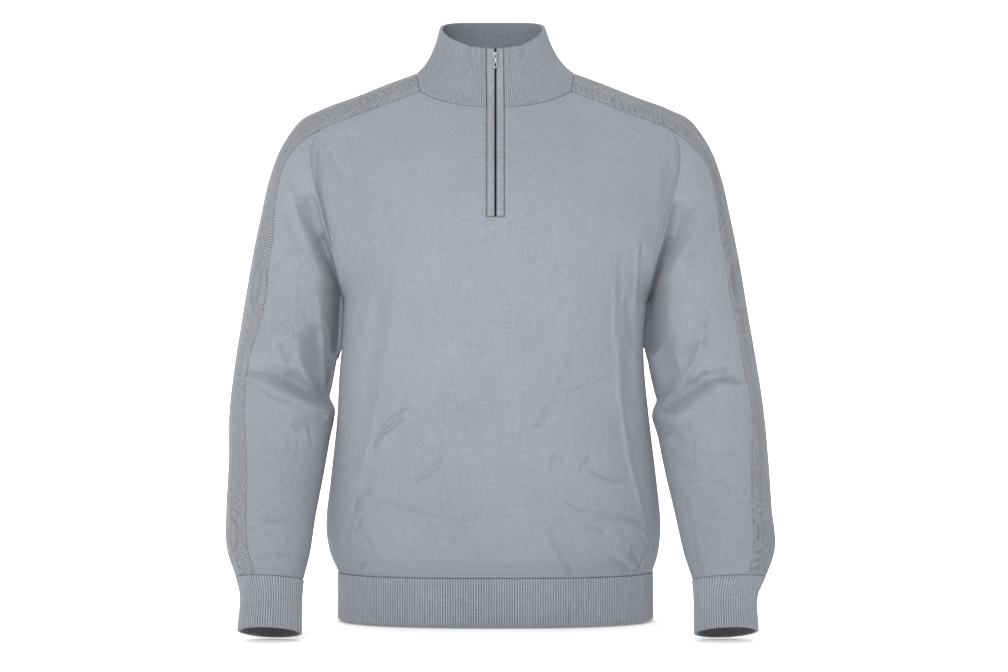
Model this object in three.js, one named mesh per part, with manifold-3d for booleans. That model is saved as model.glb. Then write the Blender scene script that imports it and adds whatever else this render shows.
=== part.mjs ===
// A quarter-zip sweater in fine knit, standing out hollow as it does on a wearer.
// Millimetres, +Z up, the front faces -Y. Left and right are the wearer's, so left is +X.
// The origin is the middle of the neck, level with the high points of the shoulders.
import * as THREE from "three";
import { mergeVertices } from "three/addons/utils/BufferGeometryUtils.js";
import Module from "manifold-3d";

// Rows of numbers under named columns.
const table = (columns, rows) =>
  rows.map((row) => Object.fromEntries(columns.split(" ").map((name, k) => [name, row[k]])));

// Cloth
const KNIT = 2.0; // wall of the plain knit
const RIB_WALL = 2.0; // wall under the ribs
const RIB_RELIEF = 0.8; // how far a rib stands out
const RIB_PITCH = 3.3; // from rib to rib
const SEAM = 0.35; // gap between sewn pieces
const SQUARENESS = 2.4; // exponent of the body's rounded section

// Body sections, from the rib's top edge up: reach of each side from the middle, depths from the side line.
const TORSO = table(
  "z right left front back",
  [
    [-631, 201, 201, 107, 99],
    [-606, 212, 208.5, 119, 108],
    [-570, 217, 211.5, 124, 111],
    [-515, 211.5, 206.5, 122, 109],
    [-440, 203.5, 197.5, 119, 106],
    [-375, 200, 191, 118, 106],
    [-330, 196, 190, 118, 108],
    [-285, 194, 194, 120, 110],
    [-258, 194, 194, 121, 111],
    [-180, 194, 194, 119, 114],
    [-120, 194, 194, 109, 112],
    [-75, 194, 194, 92, 104],
    [-41, 194, 194, 73, 92],
    [8, 194, 194, 60, 64],
  ],
);
const HEM = { top_z: -631, bottom_z: -690, half_width: 201, front: 107, back: 99 };

// Sleeve rings. Each runs through an outer point on the arm's outside and an inner point under the arm.
// y is the ring's middle, lean tips its front edge up in degrees, scoop bows the armhole, and strip_*
// is the textured strip's reach from the outside line to its seams.
const RINGS = table(
  "ring outer_x outer_z inner_x inner_z y half_depth lean scoop strip_front strip_back",
  [
    [0, 225, -40, 194, -285, 2, 66, 0, 17, 50, 38],
    [1, 247, -51, 196.4, -289, 2, 67, 0, 13.5, 54, 38],
    [2, 264, -71, 197.2, -294, 2, 68, 0, 9, 50, 38],
    [3, 279, -98, 197.4, -299, 2, 68, 0, 5, 48.5, 38],
    [4, 291, -134, 197.6, -305, 2, 68, 0, 2, 56, 38],
    [5, 300, -175, 197.8, -311, 2, 67, 0, 0, 64, 38],
    [6, 309, -218, 198, -320, 2, 66, 1, 0, 63.5, 37],
    [7, 317, -264, 198.6, -335, 1, 65, 2, 0, 66, 36],
    [8, 325, -314, 201, -356, -1, 65, 4, 0, 61, 36],
    [9, 333, -368, 205, -387, -5, 64, 7, 0, 52, 36],
    [10, 339, -428, 208, -434, -14, 61, 11, 0, 53, 35],
    [11, 338, -490, 217, -496, -32, 56, 16, 0, 54.5, 34],
    [12, 339, -548, 227, -554, -53, 51, 18, 0, 55, 33],
    [13, 337, -594, 233, -600, -70, 46, 17, 0, 52, 31],
    [14, 324, -631, 241, -635, -84, 36, 12, 0, 45, 28],
  ],
);
const CUFF_RINGS = table(
  "ring outer_x outer_z inner_x inner_z y half_depth lean scoop strip_front strip_back",
  [
    [14, 324, -631, 241, -635, -84, 36, 12, 0, 45, 28],
    [15, 318, -656, 242.5, -659, -93, 29, 16, 0, 40, 25],
    [16, 320, -696, 242, -699, -107, 27, 20, 0, 38, 25],
  ],
);
// How much further out the left arm's outer and inner points are than the right arm's, and how much
// more its strip reaches to the front.
const LEFT_ARM = table(
  "ring outer inner strip",
  [
    [0, 0, 0, 0],
    [2, 0, -1, 1],
    [5, 0, -3.5, -8.5],
    [7, 0, -7, -12],
    [8, 0, -8.5, -10.5],
    [9, 1, -8, -2],
    [10, 3, -4.5, -7.5],
    [11, 8, -2.5, -4.5],
    [12, 9, 0, -3],
    [13, 13.5, 3.5, -1],
    [14, 13, 6, -6],
    [15, 8, 6, -5],
    [16, 6, 6, -4],
  ],
);

// Neck
const NECK_FRONT = { y: -73, z: -41, pull_x: 62, corner_x: 96, corner_y: -36, corner_z: -18 };
const NECK_BACK = { y: 64, z: 8, pull_x: 58, corner_x: 93, corner_y: 40, corner_z: 2 };
const SHOULDER_RIDGE = table(
  "along x z",
  [
    [0, 101, 7],
    [0.3, 138, -6.5],
    [0.6, 177, -22],
    [0.9, 212, -34.5],
    [1, 225, -40],
  ],
);
const COLLAR_TOP = {
  right: 70.5,
  left: 63,
  front: 60,
  back: 72,
  front_z: 34,
  side_z: 67,
  back_z: 82,
};
const COLLAR_FLARE = { out: 0.3, up: 0.27 }; // where the collar's side line bends
const SADDLE_DROP_ANGLE = 32; // degrees from the shoulder line to a strip's edge at the neck

// Zip
const SLOT = 11.3; // half-width of the slot in the front, which the two bands fill
const SLOT_SPREAD = 0.06; // radians that the slot's edges part by at the collar's top
const BAND_EDGE = 1.2; // from the middle to a band's free edge
const ZIP_BOTTOM_Z = -181;
const TAPE = { edge: 2.2, past_slot: 0.08, wall: 0.8 };
const CHAIN = { half_width: 1.9, wall: 1.6 };

const SLIDER = {
  width: 7.4,
  foot_width: 5.3,
  length: 9,
  plate: 1.3,
  post_width: 1.7,
  post_length: 5,
  drop: 5, // from the collar's top edge
  gap: 0.5, // in front of the bands
};
const BRIDGE = { width: 1.5, hole: 1.15, wall: 0.8, rise: 1.55 };
const PULL = {
  width: 4.6,
  waist: 3,
  end_width: 4.2,
  length: 17,
  plate: 1,
  bar: 0.5, // half of the bar that runs through the bridge
  window: 2.4,
  window_length: 3.4,
  eye_length: 6,
  tilt: -1.5, // degrees
};

// Grids
const ARMHOLE_STEPS = 9; // along half an armhole, below the strip
const ZIP_STEPS_UP = 3; // of those, below the zip's end
const BODY_STEPS = 12; // from rib to armhole
const NECK_STEPS = 4; // from the slot to the shoulder strip
const SHOULDER_STEPS = 6; // along the shoulder strip
const STRIP_STEPS = 6; // across the shoulder strip
const SLEEVE_STEPS = 22; // from armhole to cuff
const COLLAR_STEPS = 3;
const SLOT_SHARE = 0.04; // share of a half panel's width that ends at the slot's edge
const NECK_SHARE = 0.42; // share of a half panel's width that ends at the neck

// Largest folds of a sleeve, as seen from the front: each is a trough or a ridge from one place to
// another, x from the middle of the garment. The back of the sleeve has weaker ones a little lower.
const SLEEVE_FOLDS = table(
  "x z to_x to_z width out",
  [
    [240, -178, 198, -268, 16, -8],
    [258, -180, 222, -250, 16, 4],
    [296, -375, 256, -384, 14, -4],
    [256, -384, 214, -406, 15, -7],
    [214, -340, 208, -395, 18, -4],
    [204, -424, 212, -424, 14, 4],
  ],
);
const BACK_FOLDS = { share: 0.6, drop: 15 };
// Soft folds of the front, which the back repeats the other way round. x and z are a fold's middle, and
// turn tips it from straight across, in degrees.
const BODY_FOLDS = table(
  "x z along across turn out",
  [
    [-152, -310, 85, 24, 62, -4],
    [150, -300, 85, 24, -62, -4],
    [-140, -462, 62, 22, 32, 4],
    [-92, -505, 60, 22, 28, -3],
    [128, -535, 60, 22, -24, 4],
    [150, -430, 60, 24, 40, -3],
    [20, -370, 95, 30, 74, 2],
    [-60, -210, 80, 28, -70, -2],
  ],
);

const COLOURS = {
  knit: 0x8d929d,
  rib: 0x868b96,
  strip: 0x8a8f98,
  tape: 0x5d616a,
  metal: 0xb9bbbd,
};

const mix = (a, b, s) => a + (b - a) * s;
const point = (x, y, z) => new THREE.Vector3(x, y, z);
const between = (p, q, s) => p.clone().lerp(q, s);
const radians = THREE.MathUtils.degToRad;
const smooth = (s) => THREE.MathUtils.smoothstep(s, 0, 1);

// A table's row at any place along its key column, on a smooth curve through its rows.
function rowAt(rows, key, at) {
  let k = 0;
  while (k < rows.length - 2 && at > rows[k + 1][key]) k++;
  const a = rows[k];
  const b = rows[k + 1];
  const before = rows[Math.max(k - 1, 0)];
  const after = rows[Math.min(k + 2, rows.length - 1)];
  const span = b[key] - a[key];
  const s = (at - a[key]) / span;
  const made = {};
  for (const name of Object.keys(a)) {
    const slopeA = ((b[name] - before[name]) / (b[key] - before[key])) * span;
    const slopeB = ((after[name] - a[name]) / (after[key] - a[key])) * span;
    made[name] =
      a[name] * (2 * s ** 3 - 3 * s ** 2 + 1) +
      slopeA * (s ** 3 - 2 * s ** 2 + s) +
      b[name] * (3 * s ** 2 - 2 * s ** 3) +
      slopeB * (s ** 3 - s ** 2);
  }
  return made;
}

// Sleeve

// The angle at which an ellipse's edge has run a given length from its outer end.
function angleAfter(row, length) {
  const halfHeight = Math.hypot(row.outer_x - row.inner_x, row.outer_z - row.inner_z) / 2;
  const step = 0.01;
  let run = 0;
  let angle = 0;
  while (run < length) {
    run += step * Math.hypot(halfHeight * Math.sin(angle), row.half_depth * Math.cos(angle));
    angle += step;
  }
  return angle;
}

// A sleeve fold's height at a place seen from the front.
function sleeveFoldAt(fold, x, z) {
  const run = point(fold.to_x - fold.x, 0, fold.to_z - fold.z);
  const reach = point(x - fold.x, 0, z - fold.z);
  const share = THREE.MathUtils.clamp(reach.dot(run) / run.lengthSq(), 0, 1);
  const away = reach.addScaledVector(run, -share).length();
  return fold.out * Math.exp(-((away / fold.width) ** 2));
}

// The sleeve folds' height at a place. facing is 1 at the sleeve's front and -1 at its back.
function sleeveFolds(x, z, facing) {
  const front = smooth(0.5 + facing);
  let height = 0;
  for (const fold of SLEEVE_FOLDS) {
    height += sleeveFoldAt(fold, x, z) * front;
    height += sleeveFoldAt(fold, x, z + BACK_FOLDS.drop) * (1 - front) * BACK_FOLDS.share;
  }
  return height;
}

// A point of the sleeve. angle runs from the outside line (0) by the front to under the arm (pi) and
// on by the back.
function sleevePoint(rings, ring, angle, side) {
  const row = rowAt(rings, "ring", ring);
  const up = point(row.outer_x - row.inner_x, 0, row.outer_z - row.inner_z).multiplyScalar(0.5);
  const lean = radians(row.lean);
  const forward = point(0, -Math.cos(lean), Math.sin(lean)).multiplyScalar(row.half_depth);
  const p = point((row.outer_x + row.inner_x) / 2, row.y, (row.outer_z + row.inner_z) / 2);
  p.addScaledVector(up, Math.cos(angle)).addScaledVector(forward, Math.sin(angle));
  const fromTop = Math.min(angle, 2 * Math.PI - angle);
  const edge = stripFront(rings, ring, side);
  const u = THREE.MathUtils.clamp((fromTop - edge) / (Math.PI - edge), 0, 1);
  p.x += row.scoop * Math.sin(Math.PI * u ** 0.43) ** 3;
  if (rings === RINGS) {
    const fade = smooth(ring / 2) * smooth((14 - ring) / 1.2);
    const out = up.clone().normalize().multiplyScalar(Math.cos(angle));
    out.addScaledVector(forward.clone().normalize(), Math.sin(angle));
    p.addScaledVector(out, sleeveFolds(p.x, p.z, Math.sin(angle)) * fade);
  }
  if (side > 0) {
    const left = rowAt(LEFT_ARM, "ring", ring);
    p.x += mix(left.inner, left.outer, (1 + Math.cos(angle)) / 2);
  }
  p.x *= side;
  return p;
}

// The angles of the strip's seams on a ring.
const stripFront = (rings, ring, side) => {
  const row = rowAt(rings, "ring", ring);
  const more = side > 0 ? rowAt(LEFT_ARM, "ring", ring).strip : 0;
  return angleAfter(row, row.strip_front + more);
};
const stripBack = (rings, ring) => {
  const row = rowAt(rings, "ring", ring);
  return angleAfter(row, row.strip_back);
};

// Angles round a ring below the strip, from its front seam under the arm to its back seam.
function sleeveAngles(rings, ring, side) {
  const front = stripFront(rings, ring, side);
  const back = 2 * Math.PI - stripBack(rings, ring);
  const made = [];
  for (let k = 0; k <= ARMHOLE_STEPS; k++) made.push(mix(front, Math.PI, k / ARMHOLE_STEPS));
  for (let k = 1; k <= ARMHOLE_STEPS; k++) made.push(mix(Math.PI, back, k / ARMHOLE_STEPS));
  return made;
}

// Angles across the strip, from its front seam over the outside line to its back seam.
function stripAngles(rings, ring, side) {
  const half = STRIP_STEPS / 2;
  const made = [];
  for (let k = 0; k <= half; k++) made.push(stripFront(rings, ring, side) * (1 - k / half));
  for (let k = 1; k <= half; k++) made.push(2 * Math.PI - (stripBack(rings, ring) * k) / half);
  return made;
}

// Neckline and shoulder strip

// A point of the neckline of one panel, from its middle (0) to the shoulder strip (1).
function neckline(neck, s, side) {
  const middle = point(0, neck.y, neck.z);
  const pull = point(neck.pull_x, neck.y, neck.z);
  const corner = point(neck.corner_x, neck.corner_y, neck.corner_z);
  const p = new THREE.QuadraticBezierCurve3(middle, pull, corner).getPoint(s);
  p.x *= side;
  return p;
}

// Where along the neckline it is SLOT from the middle.
const NECK_AT_SLOT = (() => {
  const bend = 2 * NECK_FRONT.pull_x - NECK_FRONT.corner_x;
  const run = 2 * NECK_FRONT.pull_x;
  return (run - Math.sqrt(run * run - 4 * bend * SLOT)) / (2 * bend);
})();

// A point of the strip over the shoulder. across runs from -1 at its front seam to 1 at its back seam,
// along from the neck (0) to the armhole (1).
function shoulderPoint(across, along, side) {
  const neck = across < 0 ? NECK_FRONT : NECK_BACK;
  const last = across < 0 ? stripFront(RINGS, 0, 1) : stripBack(RINGS, 0);
  const armholeAngle = across < 0 ? last : 2 * Math.PI - last;
  const ridge = rowAt(SHOULDER_RIDGE, "along", along);
  const end = sleevePoint(RINGS, 0, armholeAngle, 1);
  const edge = between(point(neck.corner_x, neck.corner_y, neck.corner_z), end, along);
  const ridgeY = mix(0, RINGS[0].y, along);
  const whole = mix(radians(SADDLE_DROP_ANGLE), last, along);
  const angle = Math.abs(across) * whole;
  const drop = (1 - Math.cos(angle)) / (1 - Math.cos(whole));
  const reach = Math.sin(angle) / Math.sin(whole);
  const x = mix(ridge.x, edge.x, drop);
  return point(x * side, mix(ridgeY, edge.y, reach), mix(ridge.z, edge.z, drop));
}

// Front and back

const FRONT = {
  sign: -1,
  depth: "front",
  neck: NECK_FRONT,
  armhole: (s) => mix(Math.PI, stripFront(RINGS, 0, 1), s),
};
const BACK = {
  sign: 1,
  depth: "back",
  neck: NECK_BACK,
  armhole: (s) => mix(Math.PI, 2 * Math.PI - stripBack(RINGS, 0), s),
};

// The height of a panel's middle line, from the armhole's foot (0) to the neck (1).
function middleHeight(panel, up) {
  const foot = RINGS[0].inner_z;
  const mark = ZIP_STEPS_UP / ARMHOLE_STEPS;
  const rows = [
    { up: 0, z: foot },
    { up: mark, z: ZIP_BOTTOM_Z },
    { up: 1, z: panel.neck.z },
  ];
  return rowAt(rows, "up", up).z;
}

// A point on a rounded section that is `depth` deep in the middle and ends at (endX, endDepth).
// t runs from the middle (0) over the slot's edge (slotShare) to the end (1).
function sectionPoint(t, slotShare, depth, endX, endDepth) {
  const power = 2 / SQUARENESS;
  const endAngle = Math.acos(Math.min(1, Math.max(0, endDepth / depth) ** (1 / power)));
  const halfWidth = endX / Math.sin(endAngle) ** power;
  const slotAngle = Math.asin((SLOT / halfWidth) ** (1 / power));
  const angle = t < slotShare ? 0 : mix(slotAngle, endAngle, (t - slotShare) / (1 - slotShare));
  if (t < slotShare) {
    const x = (SLOT * t) / slotShare;
    return { x, deep: depth * (1 - (x / halfWidth) ** SQUARENESS) ** (1 / SQUARENESS) };
  }
  return { x: halfWidth * Math.sin(angle) ** power, deep: depth * Math.max(0, Math.cos(angle)) ** power };
}

// How far a panel's folds stand out at a point of it.
function bodyFold(panel, t, p) {
  let height = 0;
  for (const fold of BODY_FOLDS) {
    const turn = radians(fold.turn);
    const right = -panel.sign * p.x - fold.x;
    const down = fold.z - p.z;
    const along = (right * Math.cos(turn) + down * Math.sin(turn)) / fold.along;
    const across = (down * Math.cos(turn) - right * Math.sin(turn)) / fold.across;
    height += fold.out * Math.exp(-(along ** 2) - across ** 2);
  }
  return height * smooth((1 - t) / 0.3);
}

// A point of the front or back. level runs from the rib (0) to the armhole's foot (1) and the shoulder (2).
function bodyPoint(panel, t, level, side) {
  if (level <= 1) {
    const z = mix(TORSO[0].z, RINGS[0].inner_z, level);
    const row = rowAt(TORSO, "z", z);
    const at = sectionPoint(t, SLOT_SHARE, row[panel.depth], side < 0 ? row.right : row.left, 0);
    const p = point(at.x * side, panel.sign * at.deep, z);
    p.y += panel.sign * bodyFold(panel, t, p) * smooth(level * 8);
    return p;
  }
  const up = level - 1;
  const end = sleevePoint(RINGS, 0, panel.armhole(up), 1);
  const z = middleHeight(panel, up);
  const depth = rowAt(TORSO, "z", z)[panel.depth];
  const at = sectionPoint(t, SLOT_SHARE, depth, end.x, Math.max(0, panel.sign * end.y));
  const p = point(at.x, panel.sign * at.deep, mix(z, end.z, t * t));
  p.y += (end.y - panel.sign * Math.max(0, panel.sign * end.y)) * t ** 4;
  p.y += panel.sign * bodyFold(panel, t, point(p.x * side, p.y, p.z)) * smooth(t * 4) * (1 - up);
  p.lerp(shoulderLine(panel, t), smooth((up - 0.35) / 0.65));
  if (t === 1) p.copy(end);
  p.x *= side;
  return p;
}

// The top edge of a panel: the neckline, then the seam with the shoulder strip.
function shoulderLine(panel, t) {
  if (t <= SLOT_SHARE) return neckline(panel.neck, (NECK_AT_SLOT * t) / SLOT_SHARE, 1);
  const s = (t - SLOT_SHARE) / (NECK_SHARE - SLOT_SHARE);
  if (s <= 1) return neckline(panel.neck, mix(NECK_AT_SLOT, 1, s), 1);
  return shoulderPoint(panel.sign, (t - NECK_SHARE) / (1 - NECK_SHARE), 1);
}

// A half panel's columns, from the slot's edge to the side.
const HALF_COLUMNS = (() => {
  const made = [];
  for (let k = 0; k <= NECK_STEPS; k++) made.push(mix(SLOT_SHARE, NECK_SHARE, k / NECK_STEPS));
  for (let k = 1; k <= SHOULDER_STEPS; k++) made.push(mix(NECK_SHARE, 1, k / SHOULDER_STEPS));
  return made;
})();
const LEVELS = (() => {
  const made = [];
  for (let k = 0; k <= BODY_STEPS; k++) made.push(k / BODY_STEPS);
  for (let k = 1; k <= ARMHOLE_STEPS; k++) made.push(1 + k / ARMHOLE_STEPS);
  return made;
})();

// One row of a panel from the wearer's right to left.
function bodyRow(panel, pointAt) {
  const right = HALF_COLUMNS.map((t) => pointAt(t, -1)).reverse();
  const left = HALF_COLUMNS.map((t) => pointAt(t, 1));
  return [...right, pointAt(0, 1), ...left];
}

// Collar

// A point of the collar above a point of its base, from the base (0) to the top edge (1).
function collarPoint(base, up) {
  const front = base.y < 0;
  const baseDepth = front ? -NECK_FRONT.y : NECK_BACK.y;
  const round = Math.atan2(Math.abs(base.x) / SHOULDER_RIDGE[0].x, -base.y / baseDepth);
  const slot = Math.atan2(SLOT / SHOULDER_RIDGE[0].x, 1);
  const parted = SLOT_SPREAD * Math.min(round / slot, (Math.PI - round) / (Math.PI - slot));
  const angle = round + parted;
  const level = (COLLAR_TOP.front_z + COLLAR_TOP.back_z) / 2;
  const middle = (level + COLLAR_TOP.side_z) / 2;
  const tilt = (COLLAR_TOP.front_z - COLLAR_TOP.back_z) / 2;
  const z = middle + tilt * Math.cos(angle) + (level - middle) * Math.cos(2 * angle);
  const depth = Math.cos(angle) > 0 ? COLLAR_TOP.front : COLLAR_TOP.back;
  const x = Math.sign(base.x) * Math.sin(angle) * (base.x < 0 ? COLLAR_TOP.right : COLLAR_TOP.left);
  const top = point(x, -depth * Math.cos(angle), z);
  const bend = between(top, base, COLLAR_FLARE.out);
  bend.z = mix(base.z, top.z, COLLAR_FLARE.up);
  return new THREE.QuadraticBezierCurve3(base, bend, top).getPoint(up);
}

// The collar's base, from the slot's left edge by the back to its right edge.
function collarBase() {
  const half = [];
  const atNeck = (neck, s) => neckline(neck, mix(NECK_AT_SLOT, 1, s), 1);
  for (let k = 0; k <= NECK_STEPS; k++) half.push(atNeck(NECK_FRONT, k / NECK_STEPS));
  for (let k = 1; k <= STRIP_STEPS; k++) half.push(shoulderPoint((2 * k) / STRIP_STEPS - 1, 0, 1));
  for (let k = 1; k <= NECK_STEPS; k++) half.push(atNeck(NECK_BACK, 1 - k / NECK_STEPS));
  const other = half.map((p) => point(-p.x, p.y, p.z)).reverse();
  return [...half, point(0, NECK_BACK.y, NECK_BACK.z), ...other];
}

// Walls

const panels = [];

// Keeps a grid of outer points, rows by columns. skip(row, column) leaves a cell out.
function cut(name, colour, points, options = {}) {
  const plain = { wall: KNIT, closed: false, ribbed: false, skip: () => false };
  panels.push({ name, colour, points, ...plain, ...options });
}

// The cell of a panel, or null outside it.
function hasCell(panel, r, c) {
  const rows = panel.points.length - 1;
  const columns = panel.closed ? panel.points[0].length : panel.points[0].length - 1;
  const column = panel.closed ? (c + columns) % columns : c;
  return r >= 0 && r < rows && column >= 0 && column < columns && !panel.skip(r, column);
}

const cornerOf = (panel, r, c) => panel.points[r][c % panel.points[0].length];
const placeKey = (p) => [p.x, p.y, p.z].map((v) => Math.round(v * 40)).join();

// Adds up each panel's face directions at its corners, away from the panel's heart, so that pieces
// which meet share one direction.
function sharedNormals() {
  const sums = new Map();
  for (const panel of panels) {
    const cells = [];
    let flux = 0;
    for (let r = 0; r < panel.points.length - 1; r++) {
      for (let c = 0; c < panel.points[0].length; c++) {
        if (!hasCell(panel, r, c) || (!panel.closed && c === panel.points[0].length - 1)) continue;
        const corners = [cornerOf(panel, r, c), cornerOf(panel, r, c + 1)];
        corners.push(cornerOf(panel, r + 1, c + 1), cornerOf(panel, r + 1, c));
        const normal = corners[2].clone().sub(corners[0]).cross(corners[3].clone().sub(corners[1]));
        flux += normal.dot(corners[0].clone().sub(panel.heart));
        cells.push([corners, normal]);
      }
    }
    for (const [corners, normal] of cells) {
      for (const corner of corners) {
        const key = placeKey(corner);
        if (!sums.has(key)) sums.set(key, point(0, 0, 0));
        sums.get(key).addScaledVector(normal, Math.sign(flux));
      }
    }
  }
  return sums;
}

// Moves a panel's edges in by half a seam, and gives its outer and inner points.
function trimmed(panel, normals) {
  const outer = panel.points.map((row) => row.map((p) => p.clone()));
  const away = point(0, 0, 0); // no cell touches such a point
  const directionAt = (p) => (normals.get(placeKey(p)) ?? away).clone().normalize();
  const normal = panel.points.map((row) => row.map(directionAt));
  const last = panel.points[0].length - 1;
  const columnAt = (c) => (panel.closed ? (c + last + 1) % (last + 1) : THREE.MathUtils.clamp(c, 0, last));
  for (let r = 0; r < panel.points.length; r++) {
    for (let c = 0; c <= last; c++) {
      const has = (dr, dc) => (hasCell(panel, r + dr, c + dc) ? 1 : 0);
      const east = has(-1, 0) + has(0, 0) - has(-1, -1) - has(0, -1);
      const north = has(0, -1) + has(0, 0) - has(-1, -1) - has(-1, 0);
      const from = panel.points[r][c];
      for (const [pull, to] of [
        [east, panel.points[r][columnAt(c + Math.sign(east))]],
        [north, panel.points[THREE.MathUtils.clamp(r + Math.sign(north), 0, panel.points.length - 1)][c]],
      ]) {
        if (pull) outer[r][c].addScaledVector(to.clone().sub(from).normalize(), SEAM / 2);
      }
    }
  }
  const inward = (p, r, c) => p.clone().addScaledVector(normal[r][c], -panel.wall);
  const inner = outer.map((row, r) => row.map((p, c) => inward(p, r, c)));
  return { outer, inner, normal };
}

// How many ribs stand on each column of cells.
function ribCounts(panel) {
  if (!panel.ribbed) return panel.points[0].map(() => 0);
  const row = panel.points[Math.floor(panel.points.length / 2)];
  const widthOf = (c) => row[c].distanceTo(row[(c + 1) % row.length]);
  return row.map((p, c) => Math.max(1, Math.round(widthOf(c) / RIB_PITCH)));
}

// A closed wall: outer cells, with ribs where the panel has them, plain inner cells, and rims round
// every edge.
function wallGeometry(panel, normals) {
  const { outer, inner, normal } = trimmed(panel, normals);
  const ribs = ribCounts(panel);
  const columns = outer[0].length;
  const triangles = [];
  const face = (...corners) => {
    for (let k = 1; k < corners.length - 1; k++) triangles.push(corners[0], corners[k], corners[k + 1]);
  };
  const wrap = (c) => c % columns;
  // The outer points of one row above one column of cells, in and out over its ribs.
  const ridge = (r, c) => {
    const steps = Math.max(1, ribs[c] * 2);
    const made = [];
    for (let k = 0; k <= steps; k++) {
      const p = between(outer[r][c], outer[r][wrap(c + 1)], k / steps);
      const out = between(normal[r][c], normal[r][wrap(c + 1)], k / steps).normalize();
      made.push(k % 2 && ribs[c] ? p.addScaledVector(out, RIB_RELIEF) : p);
    }
    return made;
  };
  // A rim between a run of outer points and the two inner points behind it.
  const rim = (run, first, second) => {
    const half = Math.floor((run.length - 1) / 2);
    for (let k = 0; k < run.length - 1; k++) face(run[k], run[k + 1], k < half ? first : second);
    face(run[half], second, first);
  };
  for (let r = 0; r < outer.length - 1; r++) {
    for (let c = 0; c < columns; c++) {
      if (!hasCell(panel, r, c) || (!panel.closed && c === columns - 1)) continue;
      const low = ridge(r, c);
      const high = ridge(r + 1, c);
      for (let k = 0; k < low.length - 1; k++) face(low[k], low[k + 1], high[k + 1], high[k]);
      const inLow = [inner[r][c], inner[r][wrap(c + 1)]];
      const inHigh = [inner[r + 1][c], inner[r + 1][wrap(c + 1)]];
      face(inLow[1], inLow[0], inHigh[0], inHigh[1]);
      if (!hasCell(panel, r - 1, c)) rim([...low].reverse(), inLow[1], inLow[0]);
      if (!hasCell(panel, r + 1, c)) rim(high, inHigh[0], inHigh[1]);
      if (!hasCell(panel, r, c - 1)) face(low[0], high[0], inHigh[0], inLow[0]);
      if (!hasCell(panel, r, c + 1)) face(high.at(-1), low.at(-1), inLow[1], inHigh[1]);
    }
  }
  return facingOut(triangles);
}

// A geometry of triangles, turned round if they face inwards.
function facingOut(triangles) {
  let volume = 0;
  for (let k = 0; k < triangles.length; k += 3) {
    volume += triangles[k].dot(triangles[k + 1].clone().cross(triangles[k + 2]));
  }
  const order = volume < 0 ? [0, 2, 1] : [0, 1, 2];
  const places = [];
  for (let k = 0; k < triangles.length; k += 3) {
    for (const j of order) places.push(...triangles[k + j].toArray());
  }
  const geometry = new THREE.BufferGeometry();
  geometry.setAttribute("position", new THREE.Float32BufferAttribute(places, 3));
  geometry.computeVertexNormals();
  return geometry;
}

// The garment's pieces

const BODY_HEART = point(0, 0, -350);

function cutBody() {
  const middle = HALF_COLUMNS.length;
  const inSlot = (r, c) => r >= BODY_STEPS + ZIP_STEPS_UP && (c === middle - 1 || c === middle);
  const rowOf = (panel, level) => bodyRow(panel, (t, side) => bodyPoint(panel, t, level, side));
  const rowsOf = (panel) => LEVELS.map((level) => rowOf(panel, level));
  cut("front", COLOURS.knit, rowsOf(FRONT), { heart: BODY_HEART, skip: inSlot });
  cut("back", COLOURS.knit, rowsOf(BACK), { heart: BODY_HEART });
  for (const [name, panel] of [["hem_rib_front", FRONT], ["hem_rib_back", BACK]]) {
    const rows = [HEM.bottom_z, HEM.top_z].map((z) =>
      bodyRow(panel, (t, side) => {
        const at = sectionPoint(t, SLOT_SHARE, HEM[panel.depth], HEM.half_width, 0);
        return point(at.x * side, panel.sign * at.deep, z);
      }),
    );
    cut(name, COLOURS.rib, rows, { heart: BODY_HEART, wall: RIB_WALL, ribbed: true });
  }
}

function cutSleeves() {
  for (const [name, side] of [["left", 1], ["right", -1]]) {
    const heart = point(262 * side, 0, -330);
    const rings = [];
    for (let k = 0; k <= SLEEVE_STEPS; k++) rings.push((14 * k) / SLEEVE_STEPS);
    const placed = (table, ring, angles) => angles.map((a) => sleevePoint(table, ring, a, side));
    const sleeve = rings.map((ring) => placed(RINGS, ring, sleeveAngles(RINGS, ring, side)));
    cut(`sleeve_${name}`, COLOURS.knit, sleeve, { heart });
    const strip = [];
    for (let k = 0; k < SHOULDER_STEPS; k++) {
      const row = [];
      for (let c = 0; c <= STRIP_STEPS; c++) {
        row.push(shoulderPoint((2 * c) / STRIP_STEPS - 1, k / SHOULDER_STEPS, side));
      }
      strip.push(row);
    }
    for (const ring of rings) strip.push(placed(RINGS, ring, stripAngles(RINGS, ring, side)));
    cut(`shoulder_strip_${name}`, COLOURS.strip, strip, { heart });
    const cuff = CUFF_RINGS.map(({ ring }) => {
      const overStrip = stripAngles(CUFF_RINGS, ring, side).slice(1, -1).reverse();
      return placed(CUFF_RINGS, ring, [...sleeveAngles(CUFF_RINGS, ring, side), ...overStrip]);
    });
    const cuffHeart = point(284 * side, -95, -665);
    const options = { heart: cuffHeart, closed: true, wall: RIB_WALL, ribbed: true };
    cut(`cuff_rib_${name}`, COLOURS.rib, cuff, options);
  }
}

function cutCollar() {
  const base = collarBase();
  const rows = [];
  for (let k = 0; k <= COLLAR_STEPS; k++) {
    rows.push(base.map((p) => collarPoint(p, k / COLLAR_STEPS)));
  }
  cut("collar_rib", COLOURS.rib, rows, { heart: point(0, 0, 20), wall: RIB_WALL, ribbed: true });
}

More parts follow.
